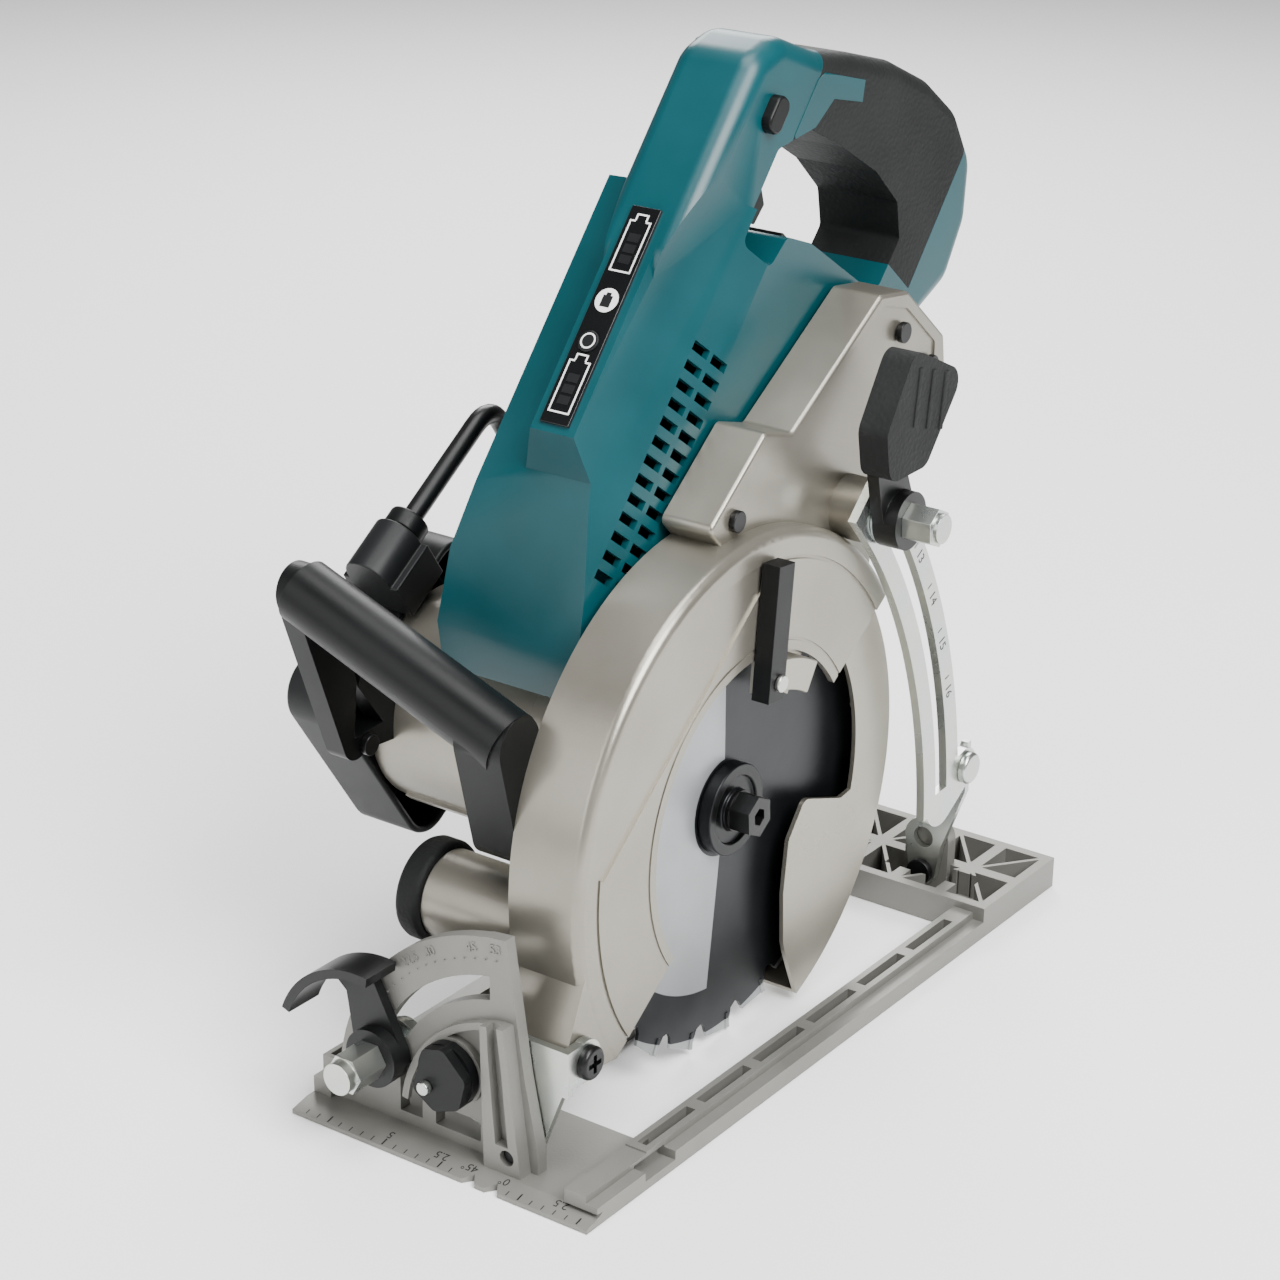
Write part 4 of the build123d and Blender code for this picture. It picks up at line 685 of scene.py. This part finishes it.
class SAW_OT_body(bpy.types.Operator):
    """Build the moulded body with its battery docks, strip and controls"""
    bl_idname = "saw.body"
    bl_label = "Battery body"

    def execute(self, context):
        edge = context.scene.saw_finish.edge / MM
        for node, width, segments in (("body_shell_left", edge, 3), ("body_shell_right", edge, 3),
                ("grip_overmould", edge, 3), ("battery_dock_front", 0.6, 2), ("battery_dock_rear", 0.6, 2),
                ("battery_terminals", 0.2, 1), ("trigger", 1.2, 3), ("lockoff_button", 1.0, 2),
                ("check_button", 0.4, 2)):
            rounded_node(node, width, segments=segments)
        rounded_node("light_strip", 0.4, "panel_gloss")
        # a body-coloured panel let into the rubber of the grip
        panel = [(-222, 93), (-229, 104), (-250, 92), (-262, 66), (-255, 62), (-246, 80), (-232, 84)]
        inlay = inlay_mesh("grip_overmould", panel, SEAM_Y + 3, SEAM_Y + 30, BODY, 0.35)
        place_mesh("grip_panel", inlay, "teal_plastic", "head")
        marks = []

        def ink(outline):
            marks.append(strip_piece(outline, STRIP_TOP, STRIP_TOP + INK))

        def strip_piece(outline, low, high):
            build = bmesh.new()
            near = [build.verts.new((-a * MM, (SEAM_Y + y) * MM, low * MM)) for a, y in outline]
            far = [build.verts.new((-a * MM, (SEAM_Y + y) * MM, high * MM)) for a, y in outline]
            build.faces.new(near)
            build.faces.new(far[::-1])
            for i in range(len(outline)):
                j = (i + 1) % len(outline)
                build.faces.new((near[j], near[i], far[i], far[j]))
            bmesh.ops.recalc_face_normals(build, faces=build.faces)
            build.transform(BODY)
            mesh = bpy.data.meshes.new("ink")
            build.to_mesh(mesh)
            build.free()
            return mesh

        def bar(a0, a1, y0, y1):
            ink([(a0, y0), (a1, y0), (a1, y1), (a0, y1)])

        for first in SIGN_STARTS:
            last = first + 20
            for side in (-1, 1):
                bar(first, last, side * 4.2 - 0.3, side * 4.2 + 0.3)
            bar(first, first + 0.6, -4.2, 4.2)
            bar(last - 0.6, last, -4.2, -2.2)
            bar(last - 0.6, last, 2.2, 4.2)
            for side in (-1, 1):
                bar(last, last + 2.6, side * 2.2 - 0.3, side * 2.2 + 0.3)
            bar(last + 2.0, last + 2.6, -2.2, 2.2)
        ink(circle(4.6, 32, 132.5))
        place_mesh("strip_print", join_meshes("strip_print", marks), "white_print", "head",
                smooth=0)
        marks.clear()
        ring = []
        for i in range(32):
            t0, t1 = 2 * pi * i / 32, 2 * pi * (i + 1) / 32
            ring.append(strip_piece([(116.5 + r * cos(t), r * sin(t)) for r, t in ((2.4, t0), (3.0, t0),
                    (3.0, t1), (2.4, t1))], 135.0, 135.1))
        place_mesh("check_button_ring", join_meshes("check_button_ring", ring), "white_print", "check_key",
                smooth=0)
        dark = []
        for first in SIGN_STARTS:
            for cell in range(3):
                a = first + 3.4 + 4.2 * cell
                dark.append(strip_piece([(a, -2.4), (a + 3.2, -2.4), (a + 3.2, 2.4), (a, 2.4)], STRIP_TOP,
                        STRIP_TOP + 0.1))
        dark.append(strip_piece([(129.9, -2.0), (134.3, -2.0), (134.3, -1.0), (135.4, -1.0), (135.4, 1.0),
                (134.3, 1.0), (134.3, 2.0), (129.9, 2.0)], STRIP_TOP + INK, STRIP_TOP + 0.2))
        place_mesh("strip_cells", join_meshes("strip_cells", dark), "dark_grey_plastic", "head",
                smooth=0)
        return {"FINISHED"}


class SAW_OT_inside(bpy.types.Operator):
    """Finish the pieces that keep their CAD shape inside the saw"""
    bl_idname = "saw.inside"
    bl_label = "Inner pieces"

    def execute(self, context):
        for node, shape in frame["nodes"].items():
            if not shape.hide_render:
                shape.data.materials.clear()
                shape.data.materials.append(MATERIALS[SLOT_OF[node]])
        return {"FINISHED"}


class SAW_OT_stage(bpy.types.Operator):
    """Set the floor, soft lights and camera"""
    bl_idname = "saw.stage"
    bl_label = "Stage"

    def execute(self, context):
        stage = context.scene.saw_stage
        half = stage.floor / 2
        mesh = bpy.data.meshes.new("floor")
        mesh.from_pydata([(-half, -half, 0), (half, -half, 0), (half, half, 0), (-half, half, 0)], [],
                [(0, 1, 2, 3)])
        floor = bpy.data.objects.new("floor", mesh)
        material, tree, principled, place = start_material("studio_paper",
                **{"Base Color": linear("#f4f4f4"), "Roughness": 0.9})
        fibre = add(tree, "ShaderNodeTexNoise", {"Vector": place}, {"Scale": 900.0})
        bump = add(tree, "ShaderNodeBump", {"Height": fibre.outputs[0]},
                {"Strength": 0.1, "Distance": 0.0001})
        tree.links.new(bump.outputs[0], principled.inputs["Normal"])
        mesh.materials.append(material)
        context.scene.collection.objects.link(floor)
        floor.location.z = CAD_BOX[0][2] - 0.0002
        world = bpy.data.worlds.new("studio")
        context.scene.world = world
        world.use_nodes = True
        world.node_tree.nodes["Background"].inputs[0].default_value = (1, 1, 1, 1)
        world.node_tree.nodes["Background"].inputs[1].default_value = stage.world
        target = Vector((-0.13, -0.03, 0.14))
        for name, spot, size, power in (("key", (0.3, 1.3, 1.5), 1.1, stage.key),
                ("fill", (1.6, -0.5, 0.9), 1.4, stage.key * 0.24),
                ("back", (-1.3, -0.9, 1.2), 1.0, stage.key * 0.4),
                ("top", (0.0, 0.1, 2.0), 1.2, stage.key * 0.5)):
            light = bpy.data.lights.new(name, "AREA")
            light.energy = power
            light.size = size
            lamp = bpy.data.objects.new(name, light)
            lamp.location = spot
            lamp.rotation_euler = (target - Vector(spot)).to_track_quat("-Z", "Y").to_euler()
            context.scene.collection.objects.link(lamp)
        # the camera looks down at the blade side from the front left
        azimuth, elevation, roll = radians(35.146), radians(22.369), radians(0.916)
        back = Vector((cos(elevation) * cos(azimuth), cos(elevation) * sin(azimuth), sin(elevation)))
        level = (-back).cross(Vector((0, 0, 1))).normalized()
        upward = level.cross(-back)
        right = level * cos(roll) + upward * sin(roll)
        up = upward * cos(roll) - level * sin(roll)
        camera = bpy.data.cameras.new("camera")
        camera.lens = 88.59
        camera.sensor_width = 36.0
        camera.clip_end = 50.0
        viewer = bpy.data.objects.new("camera", camera)
        viewer.matrix_world = Matrix.Translation((0.7614, 0.57284, 0.58808)) @ Matrix((right, up,
                back)).transposed().to_4x4()
        context.scene.collection.objects.link(viewer)
        context.scene.camera = viewer
        return {"FINISHED"}


class SAW_PT_panel(bpy.types.Panel):
    bl_idname = "SAW_PT_panel"
    bl_label = "Circular Saw"
    bl_space_type = "VIEW_3D"
    bl_region_type = "UI"
    bl_category = "Saw"

    def draw(self, context):
        for group in (context.scene.saw_finish, context.scene.saw_scale, context.scene.saw_stage):
            for key in group.__annotations__:
                self.layout.prop(group, key)
        for operator in BUILD_ORDER:
            self.layout.operator(operator.bl_idname)


BUILD_ORDER = (SAW_OT_base, SAW_OT_tilt_frame, SAW_OT_case, SAW_OT_depth_lever, SAW_OT_guard, SAW_OT_blade,
        SAW_OT_body, SAW_OT_inside, SAW_OT_stage)
CLASSES = (SawFinish, SawScale, SawStage, *BUILD_ORDER, SAW_PT_panel)


def register():
    for cls in CLASSES:
        bpy.utils.register_class(cls)
    bpy.types.Scene.saw_finish = PointerProperty(type=SawFinish)
    bpy.types.Scene.saw_scale = PointerProperty(type=SawScale)
    bpy.types.Scene.saw_stage = PointerProperty(type=SawStage)


def unregister():
    for name in ("saw_finish", "saw_scale", "saw_stage"):
        delattr(bpy.types.Scene, name)
    for cls in reversed(CLASSES):
        bpy.utils.unregister_class(cls)


def main():
    register()
    make_materials()
    TREES["line"] = line_tree()
    TREES["arc"] = arc_tree()
    for operator in BUILD_ORDER:
        group, action = operator.bl_idname.split(".")
        getattr(getattr(bpy.ops, group), action)()


if __name__ == "__main__":
    main()
